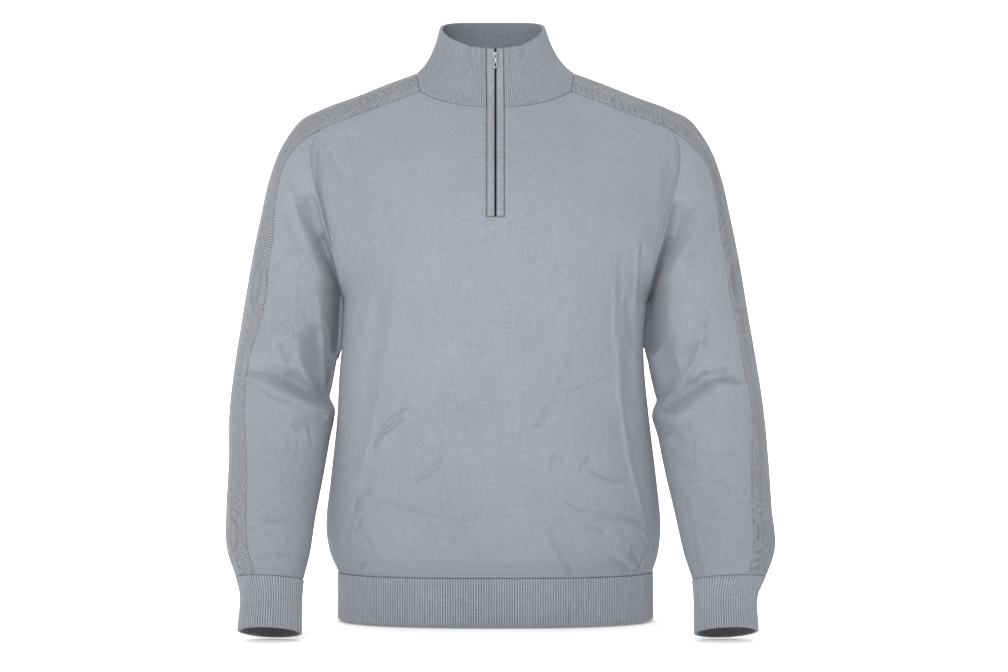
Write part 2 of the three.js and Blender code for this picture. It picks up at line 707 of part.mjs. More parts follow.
// The middle line, the slot's edge and the next column, from the zip's foot to the collar's top.
function zipLines(side) {
  const lines = [];
  const next = HALF_COLUMNS[1];
  for (let k = ZIP_STEPS_UP; k < ARMHOLE_STEPS; k++) {
    const level = 1 + k / ARMHOLE_STEPS;
    lines.push([0, SLOT_SHARE, next].map((t) => bodyPoint(FRONT, t, level, side)));
  }
  const shares = [0, NECK_AT_SLOT, mix(NECK_AT_SLOT, 1, 1 / NECK_STEPS)];
  const base = shares.map((s) => neckline(NECK_FRONT, s, side));
  for (let k = 0; k <= COLLAR_STEPS; k++) {
    lines.push(base.map((p) => collarPoint(p, k / COLLAR_STEPS)));
  }
  return lines;
}

// A strip that lies `depth` behind the front's outer face, between two places across the zip.
function behind(lines, places, depth, normals) {
  return lines.map((line) => {
    const [middle, edge, next] = line;
    const inward = normals.get(placeKey(edge)).clone().setX(0).normalize().multiplyScalar(-depth);
    return places.map((x) => {
      const from = Math.abs(x) <= SLOT ? middle : edge;
      const to = Math.abs(x) <= SLOT ? edge : next;
      const share = Math.abs(x) <= SLOT ? Math.abs(x) / SLOT : TAPE.past_slot;
      const p = between(from, to, share);
      if (x < 0 && p.x > 0) p.x *= -1;
      return p.add(inward);
    });
  });
}

function cutBands() {
  for (const [name, side] of [["left", 1], ["right", -1]]) {
    const grid = zipLines(side).map(([middle, edge]) => [between(middle, edge, BAND_EDGE / SLOT), edge]);
    cut(`zip_band_${name}`, COLOURS.knit, grid, { heart: BODY_HEART });
  }
}

function cutZip(normals) {
  const depth = KNIT + SEAM;
  for (const [name, side] of [["left", 1], ["right", -1]]) {
    const grid = behind(zipLines(side), [TAPE.edge, SLOT + 1], depth, normals);
    cut(`zip_tape_${name}`, COLOURS.tape, grid, { wall: TAPE.wall, heart: BODY_HEART });
  }
  const grid = behind(zipLines(1), [-CHAIN.half_width, CHAIN.half_width], depth, normals);
  cut("zip_chain", COLOURS.metal, grid, { wall: CHAIN.wall, heart: BODY_HEART });
}

const wasm = await Module();
wasm.setup();

// A closed geometry as a manifold-3d solid.
function solidFrom(geometry) {
  const bare = geometry.index ? geometry.toNonIndexed() : geometry.clone();
  bare.deleteAttribute("normal");
  bare.deleteAttribute("uv");
  const merged = mergeVertices(bare, 1e-4);
  return new wasm.Manifold(
    new wasm.Mesh({
      numProp: 3,
      vertProperties: new Float32Array(merged.attributes.position.array),
      triVerts: new Uint32Array(merged.index.array),
    }),
  );
}

function geometryFrom(solid) {
  const mesh = solid.getMesh();
  const geometry = new THREE.BufferGeometry();
  geometry.setAttribute("position", new THREE.Float32BufferAttribute(mesh.vertProperties, 3));
  geometry.setIndex(new THREE.BufferAttribute(new Uint32Array(mesh.triVerts), 1));
  geometry.computeVertexNormals();
  return geometry;
}

const extrusion = (shape, depth, curveSegments) =>
  new THREE.ExtrudeGeometry(shape, { depth, bevelEnabled: false, curveSegments });

// The slider in its own frame: x across, y up the zip, z out of the cloth.
function sliderGeometry() {
  const half = SLIDER.width / 2;
  const foot = SLIDER.foot_width / 2;
  const outline = new THREE.Shape();
  outline.moveTo(-half, SLIDER.length / 2 - 1);
  outline.quadraticCurveTo(-half, SLIDER.length / 2, -half + 1, SLIDER.length / 2);
  outline.lineTo(half - 1, SLIDER.length / 2);
  outline.quadraticCurveTo(half, SLIDER.length / 2, half, SLIDER.length / 2 - 1);
  outline.lineTo(foot, -SLIDER.length / 2);
  outline.lineTo(-foot, -SLIDER.length / 2);
  outline.closePath();
  const plate = extrusion(outline, SLIDER.plate, 3);
  const post = new THREE.BoxGeometry(SLIDER.post_width, SLIDER.post_length, KNIT + SEAM);
  post.translate(0, 0, -(KNIT + SEAM) / 2 + 0.1);
  const outer = BRIDGE.hole + BRIDGE.wall;
  const side = new THREE.Shape();
  side.moveTo(-outer, -BRIDGE.rise - 0.2);
  side.lineTo(outer, -BRIDGE.rise - 0.2);
  side.lineTo(outer, 0);
  side.absarc(0, 0, outer, 0, Math.PI, false);
  side.closePath();
  const hole = new THREE.Path();
  hole.absarc(0, 0, BRIDGE.hole, 0, 2 * Math.PI, true);
  side.holes.push(hole);
  const bridge = extrusion(side, BRIDGE.width, 8);
  bridge.translate(0, 0, -BRIDGE.width / 2);
  bridge.rotateY(Math.PI / 2);
  bridge.rotateX(Math.PI / 2);
  bridge.translate(0, 0, SLIDER.plate + BRIDGE.rise);
  return geometryFrom(solidFrom(plate).add(solidFrom(post)).add(solidFrom(bridge)));
}

// The pull tab, hanging from the bar through the bridge: a slim plate with two windows.
function pullGeometry() {
  const half = PULL.width / 2;
  const end = PULL.end_width / 2;
  const waist = PULL.waist / 2;
  const middle = -PULL.length + end;
  const outline = new THREE.Shape();
  outline.moveTo(-half, PULL.bar);
  outline.lineTo(half, PULL.bar);
  outline.lineTo(half, -PULL.window_length - 1);
  outline.lineTo(waist, -PULL.window_length - 3);
  outline.lineTo(end, middle);
  outline.absarc(0, middle, end, 0, Math.PI, true);
  outline.lineTo(-waist, -PULL.window_length - 3);
  outline.lineTo(-half, -PULL.window_length - 1);
  outline.closePath();
  const window = new THREE.Path();
  const w = PULL.window / 2;
  window.moveTo(-w, -PULL.bar);
  window.lineTo(-w, -PULL.window_length);
  window.lineTo(w, -PULL.window_length);
  window.lineTo(w, -PULL.bar);
  window.closePath();
  const eye = new THREE.Path();
  eye.absellipse(0, middle + PULL.eye_length * 0.4, end * 0.42, PULL.eye_length / 2, 0, 2 * Math.PI, false);
  outline.holes.push(window, eye);
  const plate = extrusion(outline, PULL.plate, 6);
  plate.translate(0, 0, -PULL.plate / 2);
  return plate;
}

const garment = new THREE.Group();

function addMesh(parent, name, geometry, colour, metalness, roughness) {
  const material = new THREE.MeshStandardMaterial({ color: colour, metalness, roughness });
  const mesh = new THREE.Mesh(geometry, material);
  mesh.name = name;
  parent.add(mesh);
}

// The slider and its tab sit on the bands near the collar's top, turned to the collar's slope.
function addSlider() {
  const lines = zipLines(1).map(([middle]) => middle);
  const top = lines.at(-1);
  const below = lines.at(-2);
  const down = below.clone().sub(top).normalize();
  const group = new THREE.Group();
  group.rotation.x = Math.atan2(-down.z, -down.y);
  const out = point(0, down.z, -down.y);
  group.position.copy(top).addScaledVector(down, SLIDER.drop + SLIDER.length / 2);
  group.position.addScaledVector(out, SLIDER.gap);
  addMesh(group, "zip_slider", sliderGeometry(), COLOURS.metal, 0.9, 0.3);
  const pull = new THREE.Group();
  pull.position.z = SLIDER.plate + BRIDGE.rise;
  pull.rotation.x = radians(PULL.tilt);
  addMesh(pull, "zip_pull", pullGeometry(), COLOURS.metal, 0.9, 0.3);
  group.add(pull);
  garment.add(group);
}

cutBody();
cutSleeves();
cutCollar();
cutBands();
cutZip(sharedNormals());
const normals = sharedNormals();
for (const panel of panels) {
  const [metalness, roughness] = panel.name === "zip_chain" ? [0.9, 0.4] : [0, 0.95];
  addMesh(garment, panel.name, wallGeometry(panel, normals), panel.colour, metalness, roughness);
}
addSlider();

export default garment;
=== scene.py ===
# %% [markdown]
# # A quarter-zip sweater in fine knit
# The sweater stands out hollow, as if someone wore it, and is seen straight from the front.
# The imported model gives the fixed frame: every knitted piece below lies on the form of its plain
# solid, and gets its real surface: ribs, a raised diagonal knit on the shoulder strips, fine
# stitches, soft creases, seams and a metal zip.

import math

import bmesh
import bpy
import numpy as np
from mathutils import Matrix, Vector


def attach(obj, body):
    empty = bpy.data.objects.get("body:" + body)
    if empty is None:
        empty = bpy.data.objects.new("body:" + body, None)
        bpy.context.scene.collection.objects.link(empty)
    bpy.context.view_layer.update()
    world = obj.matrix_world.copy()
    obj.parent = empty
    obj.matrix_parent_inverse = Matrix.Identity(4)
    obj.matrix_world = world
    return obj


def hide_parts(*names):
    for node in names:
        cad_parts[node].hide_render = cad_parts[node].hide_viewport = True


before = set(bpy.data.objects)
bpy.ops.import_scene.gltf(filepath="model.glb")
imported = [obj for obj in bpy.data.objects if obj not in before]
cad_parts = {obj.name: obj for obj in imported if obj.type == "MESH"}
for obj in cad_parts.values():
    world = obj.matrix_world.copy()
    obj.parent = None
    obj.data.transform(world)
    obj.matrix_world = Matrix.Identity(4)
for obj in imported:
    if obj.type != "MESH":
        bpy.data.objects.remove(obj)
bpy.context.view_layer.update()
scene = bpy.context.scene
MM = 0.001
print("frame:", sorted(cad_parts))

# %% [markdown]
# ## Camera
# The photograph is a studio picture taken level with the middle of the garment, from far away.
# A long lens keeps the same proportions. The horizontal shift puts the zip where the picture has it.

# %% Camera
IMAGE_WIDTH = 1008  # pixels
GARMENT_MIDDLE = 495.5  # the pixel column of the zip
PIXEL = 1.284  # millimetres of the garment for one pixel
CAMERA_DISTANCE = 3400
CAMERA_HEIGHT = -329

camera_data = bpy.data.cameras.new("camera")
camera = bpy.data.objects.new("camera", camera_data)
scene.collection.objects.link(camera)
camera.location = (0, -CAMERA_DISTANCE * MM, CAMERA_HEIGHT * MM)
camera.rotation_euler = (math.radians(90), 0, 0)
camera_data.sensor_width = 36
camera_data.lens = 36 * (CAMERA_DISTANCE / PIXEL) / IMAGE_WIDTH
camera_data.shift_x = (IMAGE_WIDTH / 2 - GARMENT_MIDDLE) / IMAGE_WIDTH
scene.camera = camera
print("lens", round(camera_data.lens, 1), "mm")

# %% [markdown]
# ## The cut
# The garment's shape is worked out from a few tables, in millimetres, with the same sizes as the
# solids: sections of the body from the rib up, rings down the sleeve, the neckline, and the collar.
# A smooth curve runs through each table's rows, so the cloth can be sampled as finely as it needs.


# %% Tables
def table(columns, rows):
    """Rows of numbers under named columns."""
    return dict(zip(columns.split(), np.array(rows, float).T))


def row_at(rows, key, at):
    """Each column's value at places along the key column, on a smooth curve through the rows."""
    knots = rows[key]
    at = np.asarray(at, float)
    k = np.clip(np.searchsorted(knots, at, side="right") - 1, 0, len(knots) - 2)
    before = np.maximum(k - 1, 0)
    after = np.minimum(k + 2, len(knots) - 1)
    span = knots[k + 1] - knots[k]
    s = (at - knots[k]) / span
    made = {}
    for name, values in rows.items():
        slope_a = (values[k + 1] - values[before]) / (knots[k + 1] - knots[before]) * span
        slope_b = (values[after] - values[k]) / (knots[after] - knots[k]) * span
        made[name] = (
            values[k] * (2 * s**3 - 3 * s**2 + 1)
            + slope_a * (s**3 - 2 * s**2 + s)
            + values[k + 1] * (3 * s**2 - 2 * s**3)
            + slope_b * (s**3 - s**2)
        )
    return made


def mix(a, b, s):
    return a + (b - a) * s


def smooth(s):
    s = np.clip(s, 0, 1)
    return s * s * (3 - 2 * s)


def points_from(x, y, z):
    return np.stack(np.broadcast_arrays(x, y, z), axis=-1).astype(float)


# %% Body sections and hem
KNIT = 2.0  # wall of the cloth
SEAM = 0.35  # gap between sewn pieces
SQUARENESS = 2.4
TORSO = table(
    "z right left front back",
    [
        [-631, 201, 201, 107, 99],
        [-606, 212, 208.5, 119, 108],
        [-570, 217, 211.5, 124, 111],
        [-515, 211.5, 206.5, 122, 109],
        [-440, 203.5, 197.5, 119, 106],
        [-375, 200, 191, 118, 106],
        [-330, 196, 190, 118, 108],
        [-285, 194, 194, 120, 110],
        [-258, 194, 194, 121, 111],
        [-180, 194, 194, 119, 114],
        [-120, 194, 194, 109, 112],
        [-75, 194, 194, 92, 104],
        [-41, 194, 194, 73, 92],
        [8, 194, 194, 60, 64],
    ],
)
RIB_TOP, RIB_BOTTOM, RIB_HALF_WIDTH = -631, -690, 201
RIB_DEPTH = {"front": 107, "back": 99}

# %% Sleeve rings
RING_COLUMNS = "ring outer_x outer_z inner_x inner_z y half_depth lean scoop strip_front strip_back"
RINGS = table(
    RING_COLUMNS,
    [
        [0, 225, -40, 194, -285, 2, 66, 0, 17, 50, 38],
        [1, 247, -51, 196.4, -289, 2, 67, 0, 13.5, 54, 38],
        [2, 264, -71, 197.2, -294, 2, 68, 0, 9, 50, 38],
        [3, 279, -98, 197.4, -299, 2, 68, 0, 5, 48.5, 38],
        [4, 291, -134, 197.6, -305, 2, 68, 0, 2, 56, 38],
        [5, 300, -175, 197.8, -311, 2, 67, 0, 0, 64, 38],
        [6, 309, -218, 198, -320, 2, 66, 1, 0, 63.5, 37],
        [7, 317, -264, 198.6, -335, 1, 65, 2, 0, 66, 36],
        [8, 325, -314, 201, -356, -1, 65, 4, 0, 61, 36],
        [9, 333, -368, 205, -387, -5, 64, 7, 0, 52, 36],
        [10, 339, -428, 208, -434, -14, 61, 11, 0, 53, 35],
        [11, 338, -490, 217, -496, -32, 56, 16, 0, 54.5, 34],
        [12, 339, -548, 227, -554, -53, 51, 18, 0, 55, 33],
        [13, 337, -594, 233, -600, -70, 46, 17, 0, 52, 31],
        [14, 324, -631, 241, -635, -84, 36, 12, 0, 45, 28],
    ],
)
CUFF_RINGS = table(
    RING_COLUMNS,
    [
        [14, 324, -631, 241, -635, -84, 36, 12, 0, 45, 28],
        [15, 318, -656, 242.5, -659, -93, 29, 16, 0, 40, 25],
        [16, 320, -696, 242, -699, -107, 27, 20, 0, 38, 25],
    ],
)
LAST_RING = 14  # at the seam with the cuff
LEFT_ARM = table(
    "ring outer inner strip",
    [
        [0, 0, 0, 0],
        [2, 0, -1, 1],
        [5, 0, -3.5, -8.5],
        [7, 0, -7, -12],
        [8, 0, -8.5, -10.5],
        [9, 1, -8, -2],
        [10, 3, -4.5, -7.5],
        [11, 8, -2.5, -4.5],
        [12, 9, 0, -3],
        [13, 13.5, 3.5, -1],
        [14, 13, 6, -6],
        [15, 8, 6, -5],
        [16, 6, 6, -4],
    ],
)

# %% Neck and collar
NECK_FRONT = {"y": -73, "z": -41, "pull_x": 62, "corner": (96, -36, -18)}
NECK_BACK = {"y": 64, "z": 8, "pull_x": 58, "corner": (93, 40, 2)}
SHOULDER_RIDGE = table(
    "along x z",
    [[0, 101, 7], [0.3, 138, -6.5], [0.6, 177, -22], [0.9, 212, -34.5], [1, 225, -40]],
)
COLLAR_TOP = {"right": 70.5, "left": 63, "front": 60, "back": 72}
COLLAR_TOP_Z = {"front": 34, "side": 67, "back": 82}
COLLAR_FLARE = {"out": 0.3, "up": 0.27}
SADDLE_DROP_ANGLE = 32
SLOT = 11.3  # half-width of the zip's slot, which the two bands fill
SLOT_SPREAD = 0.06
SLOT_SHARE = 0.04
NECK_SHARE = 0.42
BAND_EDGE = 1.0
ZIP_BOTTOM = -181

# %% [markdown]
# ### Folds
# The large soft folds are the ones of the solids. The finer creases are only here: each row of a
# table is one soft trough (out below 0) or ridge, placed where the photograph shows it on the front
# and spread in the same way over the sides and back, which it doesn't show.

# %% Folds of the sleeves and body
SLEEVE_FOLDS = table(
    "x z to_x to_z width out",
    [
        [240, -178, 198, -268, 16, -8],
        [258, -180, 222, -250, 16, 4],
        [296, -375, 256, -384, 14, -4],
        [256, -384, 214, -406, 15, -7],
        [214, -340, 208, -395, 18, -4],
        [204, -424, 212, -424, 14, 4],
    ],
)
BACK_FOLDS = {"share": 0.6, "drop": 15}
BODY_FOLDS = table(
    "x z along across turn out",
    [
        [-152, -310, 85, 24, 62, -4],
        [150, -300, 85, 24, -62, -4],
        [-140, -462, 62, 22, 32, 4],
        [-92, -505, 60, 22, 28, -3],
        [128, -535, 60, 22, -24, 4],
        [150, -430, 60, 24, 40, -3],
        [20, -370, 95, 30, 74, 2],
        [-60, -210, 80, 28, -70, -2],
    ],
)


def body_fold(x, z):
    """Height of the body's folds at places seen from the front."""
    height = np.zeros(np.broadcast(x, z).shape)
    for k in range(len(BODY_FOLDS["out"])):
        turn = math.radians(BODY_FOLDS["turn"][k])
        right, down = x - BODY_FOLDS["x"][k], BODY_FOLDS["z"][k] - z
        along = (right * math.cos(turn) + down * math.sin(turn)) / BODY_FOLDS["along"][k]
        across = (down * math.cos(turn) - right * math.sin(turn)) / BODY_FOLDS["across"][k]
        height += BODY_FOLDS["out"][k] * np.exp(-(along**2) - across**2)
    return height


def each_fold(folds, x, z):
    """Heights of folds that each run from one place to another, at places seen from the front."""
    for k in range(len(folds["out"])):
        run_x, run_z = folds["to_x"][k] - folds["x"][k], folds["to_z"][k] - folds["z"][k]
        reach_x, reach_z = x - folds["x"][k], z - folds["z"][k]
        share = np.clip((reach_x * run_x + reach_z * run_z) / (run_x**2 + run_z**2), 0, 1)
        away = np.hypot(reach_x - share * run_x, reach_z - share * run_z)
        yield folds["out"][k] * np.exp(-((away / folds["width"][k]) ** 2))


def run_folds(folds, x, z):
    """Height of folds that add up."""
    return sum(each_fold(folds, x, z))


def both_faces(folds, x, z, facing):
    """Folds at the front, where facing is 1, and weaker ones a little lower at the back."""
    front = smooth(0.5 + facing)
    lower = run_folds(folds, x, z + BACK_FOLDS["drop"]) * BACK_FOLDS["share"]
    return run_folds(folds, x, z) * front + lower * (1 - front)


# %% Creases of the sleeves and body
CREASE_COLUMNS = "x z to_x to_z width out"
SLEEVE_CREASES = {
    "right": table(
        CREASE_COLUMNS,
        [
            [231, -160, 220, -205, 10.7, -12.8],
            [220, -205, 209, -236, 8.9, -22],
            [209, -236, 199, -263, 7.6, -29],
            [200, -268, 201, -340, 11.4, -33],
            [207, -284, 207, -347, 7.6, -17],
            [258, -147, 249, -178, 6.1, 4.3],
            [249, -178, 230, -221, 6.1, 4.3],
            [230, -221, 219, -252, 5.1, 3.6],
            [262, -175, 247, -216, 7.6, -3.6],
            [221, -284, 219, -340, 6.1, 4.3],
            [310, -373, 284, -371, 6.8, -4.9],
            [284, -371, 259, -383, 8.4, -8.5],
            [259, -383, 234, -401, 10.7, -11.4],
            [234, -401, 211, -412, 10.7, -11.4],
            [226, -328, 226, -395, 13, -12.8],
            [216, -322, 209, -402, 10.7, -11.4],
            [250, -334, 247, -362, 5.3, 4.9],
            [247, -362, 229, -395, 5.3, 4.9],
            [294, -387, 272, -397, 5.1, 3.6],
            [247, -408, 214, -421, 6.1, 6.5],
            [298, -391, 282, -403, 2.2, -2.3],
            [282, -403, 247, -416, 2.2, -2.3],
            [249, -441, 235, -434, 4.6, -4.9],
            [235, -434, 219, -430, 4.6, -5.7],
            [240, -441, 235, -460, 2.2, 2.9],
            [236, -442, 231, -465, 2.2, -2.9],
            [247, -460, 248, -480, 2.2, -1.6],
            [259, -450, 258, -468, 2.3, -1.8],
            [287, -559, 264, -556, 2.8, -2.3],
            [287, -564, 257, -562, 3.8, 2.2],
            [270, -600, 255, -600, 2.5, -2.7],
            [294, -604, 274, -596, 2.2, -1.6],
            [302, -566, 292, -564, 3.8, -1.8],
            [268, -576, 267, -586, 2.2, -1.8],
            [257, -210, 267, -226, 2.2, -1.4],
            [267, -226, 284, -243, 2.2, -1.4],
            [243, -236, 248, -265, 2.2, -1.6],
            [250, -271, 255, -321, 2.2, 1.6],
            [289, -339, 278, -325, 2.2, 1.8],
            [278, -325, 263, -310, 2.2, 1.8],
            [255, -315, 249, -342, 2.2, -1.8],
            [292, -296, 294, -321, 2.3, -1.8],
            [268, -340, 259, -359, 5.1, -3.6],
            [236, -321, 240, -296, 5.1, -2.2],
        ],
    ),
    "left": table(
        CREASE_COLUMNS,
        [
            [230, -170, 221, -210, 10, -12],
            [221, -210, 211, -238, 7.6, -22],
            [211, -238, 204, -266, 6.3, -28],
            [202, -274, 201, -340, 10.2, -33],
            [207, -294, 210, -340, 7.6, -17],
            [267, -145, 262, -173, 5.3, 4.8],
            [262, -173, 249, -203, 5.3, 4.6],
            [249, -203, 230, -229, 5.3, 4.3],
            [230, -229, 215, -256, 5.3, 3.8],
            [252, -164, 245, -188, 2.5, 2.7],
            [274, -174, 265, -202, 7.6, -3.8],
            [265, -202, 248, -223, 6.3, -3.6],
            [224, -190, 226, -200, 2.5, -2.7],
            [303, -384, 289, -377, 6.1, -4.9],
            [289, -377, 269, -382, 7.6, -8.5],
            [269, -382, 250, -395, 9.1, -11.4],
            [250, -395, 218, -417, 9.1, -11.4],
            [238, -347, 245, -369, 12.2, -8.5],
            [212, -340, 223, -391, 13.7, -13.6],
            [262, -315, 258, -340, 3.8, 3.6],
            [258, -340, 249, -367, 4.9, 6.5],
            [249, -367, 228, -392, 5.3, 7.1],
            [228, -392, 211, -420, 5.3, 5.7],
            [315, -391, 283, -390, 5.1, 2.7],
            [207, -425, 228, -430, 5.3, 6.5],
            [228, -430, 245, -419, 5.1, 3.6],
            [207, -444, 223, -448, 6.1, -7.1],
            [223, -448, 234, -466, 6.1, -4.9],
            [220, -479, 238, -488, 5.1, -3.6],
            [241, -435, 247, -455, 2.2, -2.9],
            [247, -455, 248, -485, 2.2, -2.2],
            [253, -458, 253, -506, 2.8, 2.9],
            [238, -516, 258, -511, 2.3, 2.3],
            [258, -511, 281, -514, 2.2, 2.2],
            [268, -495, 284, -508, 2.2, 2.9],
            [284, -508, 291, -528, 2.2, 2.3],
            [272, -498, 283, -511, 2.2, -1.8],
            [238, -536, 245, -571, 2.2, -3.2],
            [245, -571, 250, -599, 2.2, -3.2],
            [250, -599, 260, -630, 2.2, -3.6],
            [238, -574, 240, -588, 2.2, -2.5],
            [249, -566, 273, -565, 2.5, -1.6],
            [258, -473, 302, -475, 3.8, -1.8],
            [273, -299, 267, -340, 3.8, -2.2],
            [241, -233, 245, -252, 2.5, -1.8],
        ],
    ),
}
BODY_CREASES = table(
    CREASE_COLUMNS,
    [
        [-212, -98, -204, -110, 2.2, -2.3],
        [-204, -110, -196, -126, 2.5, -2.9],
        [-216, -110, -204, -138, 3.8, 2.9],
        [-187, -73, -178, -89, 3.2, -1.4],
        [-171, -123, -158, -166, 6.3, -1.8],
        [-125, -249, -135, -264, 2.3, -1.8],
        [-135, -264, -142, -289, 3.8, -1.8],
        [-127, -282, -134, -340, 6.3, 3.2],
        [-145, -284, -147, -346, 7.6, -3.6],
        [-156, -269, -161, -299, 2.2, 1.4],
        [-175, -304, -173, -324, 3.8, -2.5],
        [-134, -340, -146, -409, 6.3, 3.6],
        [-146, -409, -166, -496, 6.3, 3.6],
        [-156, -334, -161, -409, 7.6, -3.6],
        [-160, -458, -154, -496, 6.3, -1.8],
        [-110, -416, -121, -425, 2.2, -2.9],
        [-121, -425, -132, -430, 2.2, -2.2],
        [-117, -432, -127, -440, 2.2, -3.2],
        [-127, -440, -141, -450, 2.2, -4],
        [-141, -450, -151, -468, 2.2, -3.6],
        [-124, -428, -146, -450, 2.5, 2.2],
        [-154, -456, -144, -456, 2.2, -1.8],
        [-68, -481, -71, -489, 2.2, -2.7],
        [-71, -489, -81, -498, 2.2, -3.2],
        [-81, -498, -98, -508, 2.2, -2.7],
        [-69, -446, -67, -478, 2.3, 1.4],
        [-157, -501, -162, -523, 6.1, -4.3],
        [-165, -506, -166, -518, 3.8, -2.7],
        [-170, -533, -175, -550, 2.2, -4.7],
        [-168, -559, -177, -573, 2.2, -3.2],
        [-162, -529, -129, -542, 3.3, 2.3],
        [-129, -542, -94, -550, 3, 2.3],
        [-94, -550, -57, -560, 2.8, 1.8],
        [-131, -534, -106, -538, 2.2, -1.4],
        [-167, -570, -156, -583, 2.2, 2.2],
        [-160, -583, -154, -602, 2.2, -1.8],
        [-154, -602, -144, -620, 2.2, -1.8],
        [-145, -622, -146, -610, 2.2, 1.4],
        [-181, -564, -187, -589, 2.5, -2.7],
        [-178, -593, -161, -602, 3, -1.8],
        [-81, -560, -85, -570, 2.2, -1.8],
        [-14, -589, -19, -599, 2.2, -1.8],
        [6, -573, 12, -580, 2.2, 1.4],
        [-42, -558, -35, -548, 2.2, -1.4],
        [-7, -564, 6, -578, 2.2, -1.3],
        [-167, -622, -163, -615, 2.2, -3.2],
        [-193, -589, -188, -607, 2.2, 2.5],
        [180, -73, 198, -69, 2.2, 1.4],
        [209, -113, 206, -148, 3.8, 1.4],
        [157, -228, 157, -284, 5.1, -1.6],
        [180, -217, 177, -284, 3.3, 2.9],
        [185, -215, 183, -230, 2.2, -1.8],
        [167, -287, 172, -340, 6.1, -4.3],
        [150, -266, 150, -340, 3.8, 2.2],
        [141, -381, 117, -391, 2.5, 2],
        [117, -391, 89, -401, 2.8, 2.2],
        [89, -401, 71, -416, 2.8, 1.8],
        [83, -404, 65, -421, 3.8, -2.2],
        [65, -421, 53, -438, 3.8, -2.9],
        [140, -340, 127, -359, 2.5, 1.3],
        [99, -346, 91, -361, 3.8, -1.6],
        [154, -334, 157, -409, 4.6, 3.8],
        [157, -409, 168, -483, 3.8, 3.6],
        [168, -483, 185, -548, 3.8, 3.2],
        [167, -340, 172, -409, 7.6, -3.6],
        [75, -476, 68, -494, 2.2, -2.3],
        [80, -481, 78, -488, 2.2, 1.4],
        [117, -478, 106, -493, 2.2, -2.7],
        [127, -496, 160, -494, 2.3, 1.8],
        [121, -497, 142, -507, 3.3, -2.9],
        [142, -507, 165, -506, 3.3, -3.2],
        [85, -537, 105, -547, 2.5, 2.2],
        [93, -539, 130, -550, 3, -1.8],
        [130, -550, 165, -555, 3.3, -3.2],
        [165, -555, 182, -565, 3, -3.6],
        [75, -560, 130, -560, 3, 2.2],
        [130, -560, 175, -565, 3, 2.5],
        [71, -566, 71, -588, 2.2, -2.2],
        [74, -589, 85, -606, 2.2, -3.2],
        [85, -606, 96, -629, 2.2, -3.6],
        [105, -566, 115, -574, 2.2, 1.4],
        [117, -565, 134, -571, 2.2, -1.8],
        [163, -583, 170, -597, 2.3, 2.2],
        [160, -576, 166, -589, 2.2, -2.3],
        [170, -599, 181, -621, 2.2, -4.5],
        [145, -609, 160, -617, 2.2, -3.6],
        [160, -617, 168, -629, 2.2, -4],
        [187, -607, 180, -624, 2.2, -3.2],
        [155, -597, 175, -622, 2.5, 2.3],
        [187, -576, 198, -597, 2.3, 2.2],
        [195, -593, 190, -602, 2.2, -2.3],
        [204, -597, 198, -589, 2.2, 2.2],
    ],
)


def creases_at(folds, x, z):
    """Height of creases, each a chain of rows: the deepest trough and the highest ridge count."""
    trough = ridge = np.zeros(np.broadcast(x, z).shape)
    for height in each_fold(folds, x, z):
        trough = np.minimum(trough, height)
        ridge = np.maximum(ridge, height)
    return trough + ridge


def creases_forward(folds, x, z, facing):
    """How far creases stand out at the front, where facing is over 0, and more faintly at the back."""
    lower = creases_at(folds, x, z + BACK_FOLDS["drop"]) * BACK_FOLDS["share"]
    return creases_at(folds, x, z) * smooth(3 * facing) - lower * smooth(-3 * facing)


# %% Where an arm lies against the body
# Below the armhole the arm touches the body's side for a while. Lower down, the bent elbow pushes
# out a small bulge with a notch over it.
TOUCH = 0.5  # gap that is left
TOUCH_TOP, TOUCH_BOTTOM = -284, -362
ARM_EDGE = {
    "right": table("z out width", [[-405, -1.5, 6], [-422, 2.6, 11]]),
    "left": table("z out width", [[-411, -1.5, 6], [-431, 2.2, 11]]),
}


def arm_name(side):
    return "right" if side < 0 else "left"


def toward_body(side, inner):
    """How far the inner line of an arm moves toward the body, from its points."""
    edge = row_at(TORSO, "z", np.clip(inner[:, 2], TORSO["z"][0], 0))[arm_name(side)]
    gap = np.abs(inner[:, 0]) - edge - TOUCH
    close = smooth((TOUCH_TOP - inner[:, 2]) / 6) * smooth((inner[:, 2] - TOUCH_BOTTOM) / 26)
    move = gap * close
    bulges = ARM_EDGE[arm_name(side)]
    for k in range(len(bulges["z"])):
        move += bulges["out"][k] * np.exp(-(((inner[:, 2] - bulges["z"][k]) / bulges["width"][k]) ** 2))
    return move * side


# %% Sleeve surface
def angle_after(row, length):
    """The angle at which a ring's edge has run a length from its outer end."""
    angles = np.linspace(0, 2.3, 231)
    half_height = np.hypot(row["outer_x"] - row["inner_x"], row["outer_z"] - row["inner_z"]) / 2
    speed = np.hypot(
        half_height[:, None] * np.sin(angles), row["half_depth"][:, None] * np.cos(angles)
    )
    run = np.zeros_like(speed)
    run[:, 1:] = np.cumsum((speed[:, 1:] + speed[:, :-1]) / 2 * np.diff(angles), axis=1)
    return np.array([np.interp(want, line, angles) for want, line in zip(length, run)])


def strip_edges(rings, ring, side):
    """Angles of the strip's front and back seams on each ring, from the outside line."""
    row = row_at(rings, "ring", ring)
    more = row_at(LEFT_ARM, "ring", ring)["strip"] if side > 0 else 0
    return angle_after(row, row["strip_front"] + more), angle_after(row, row["strip_back"])


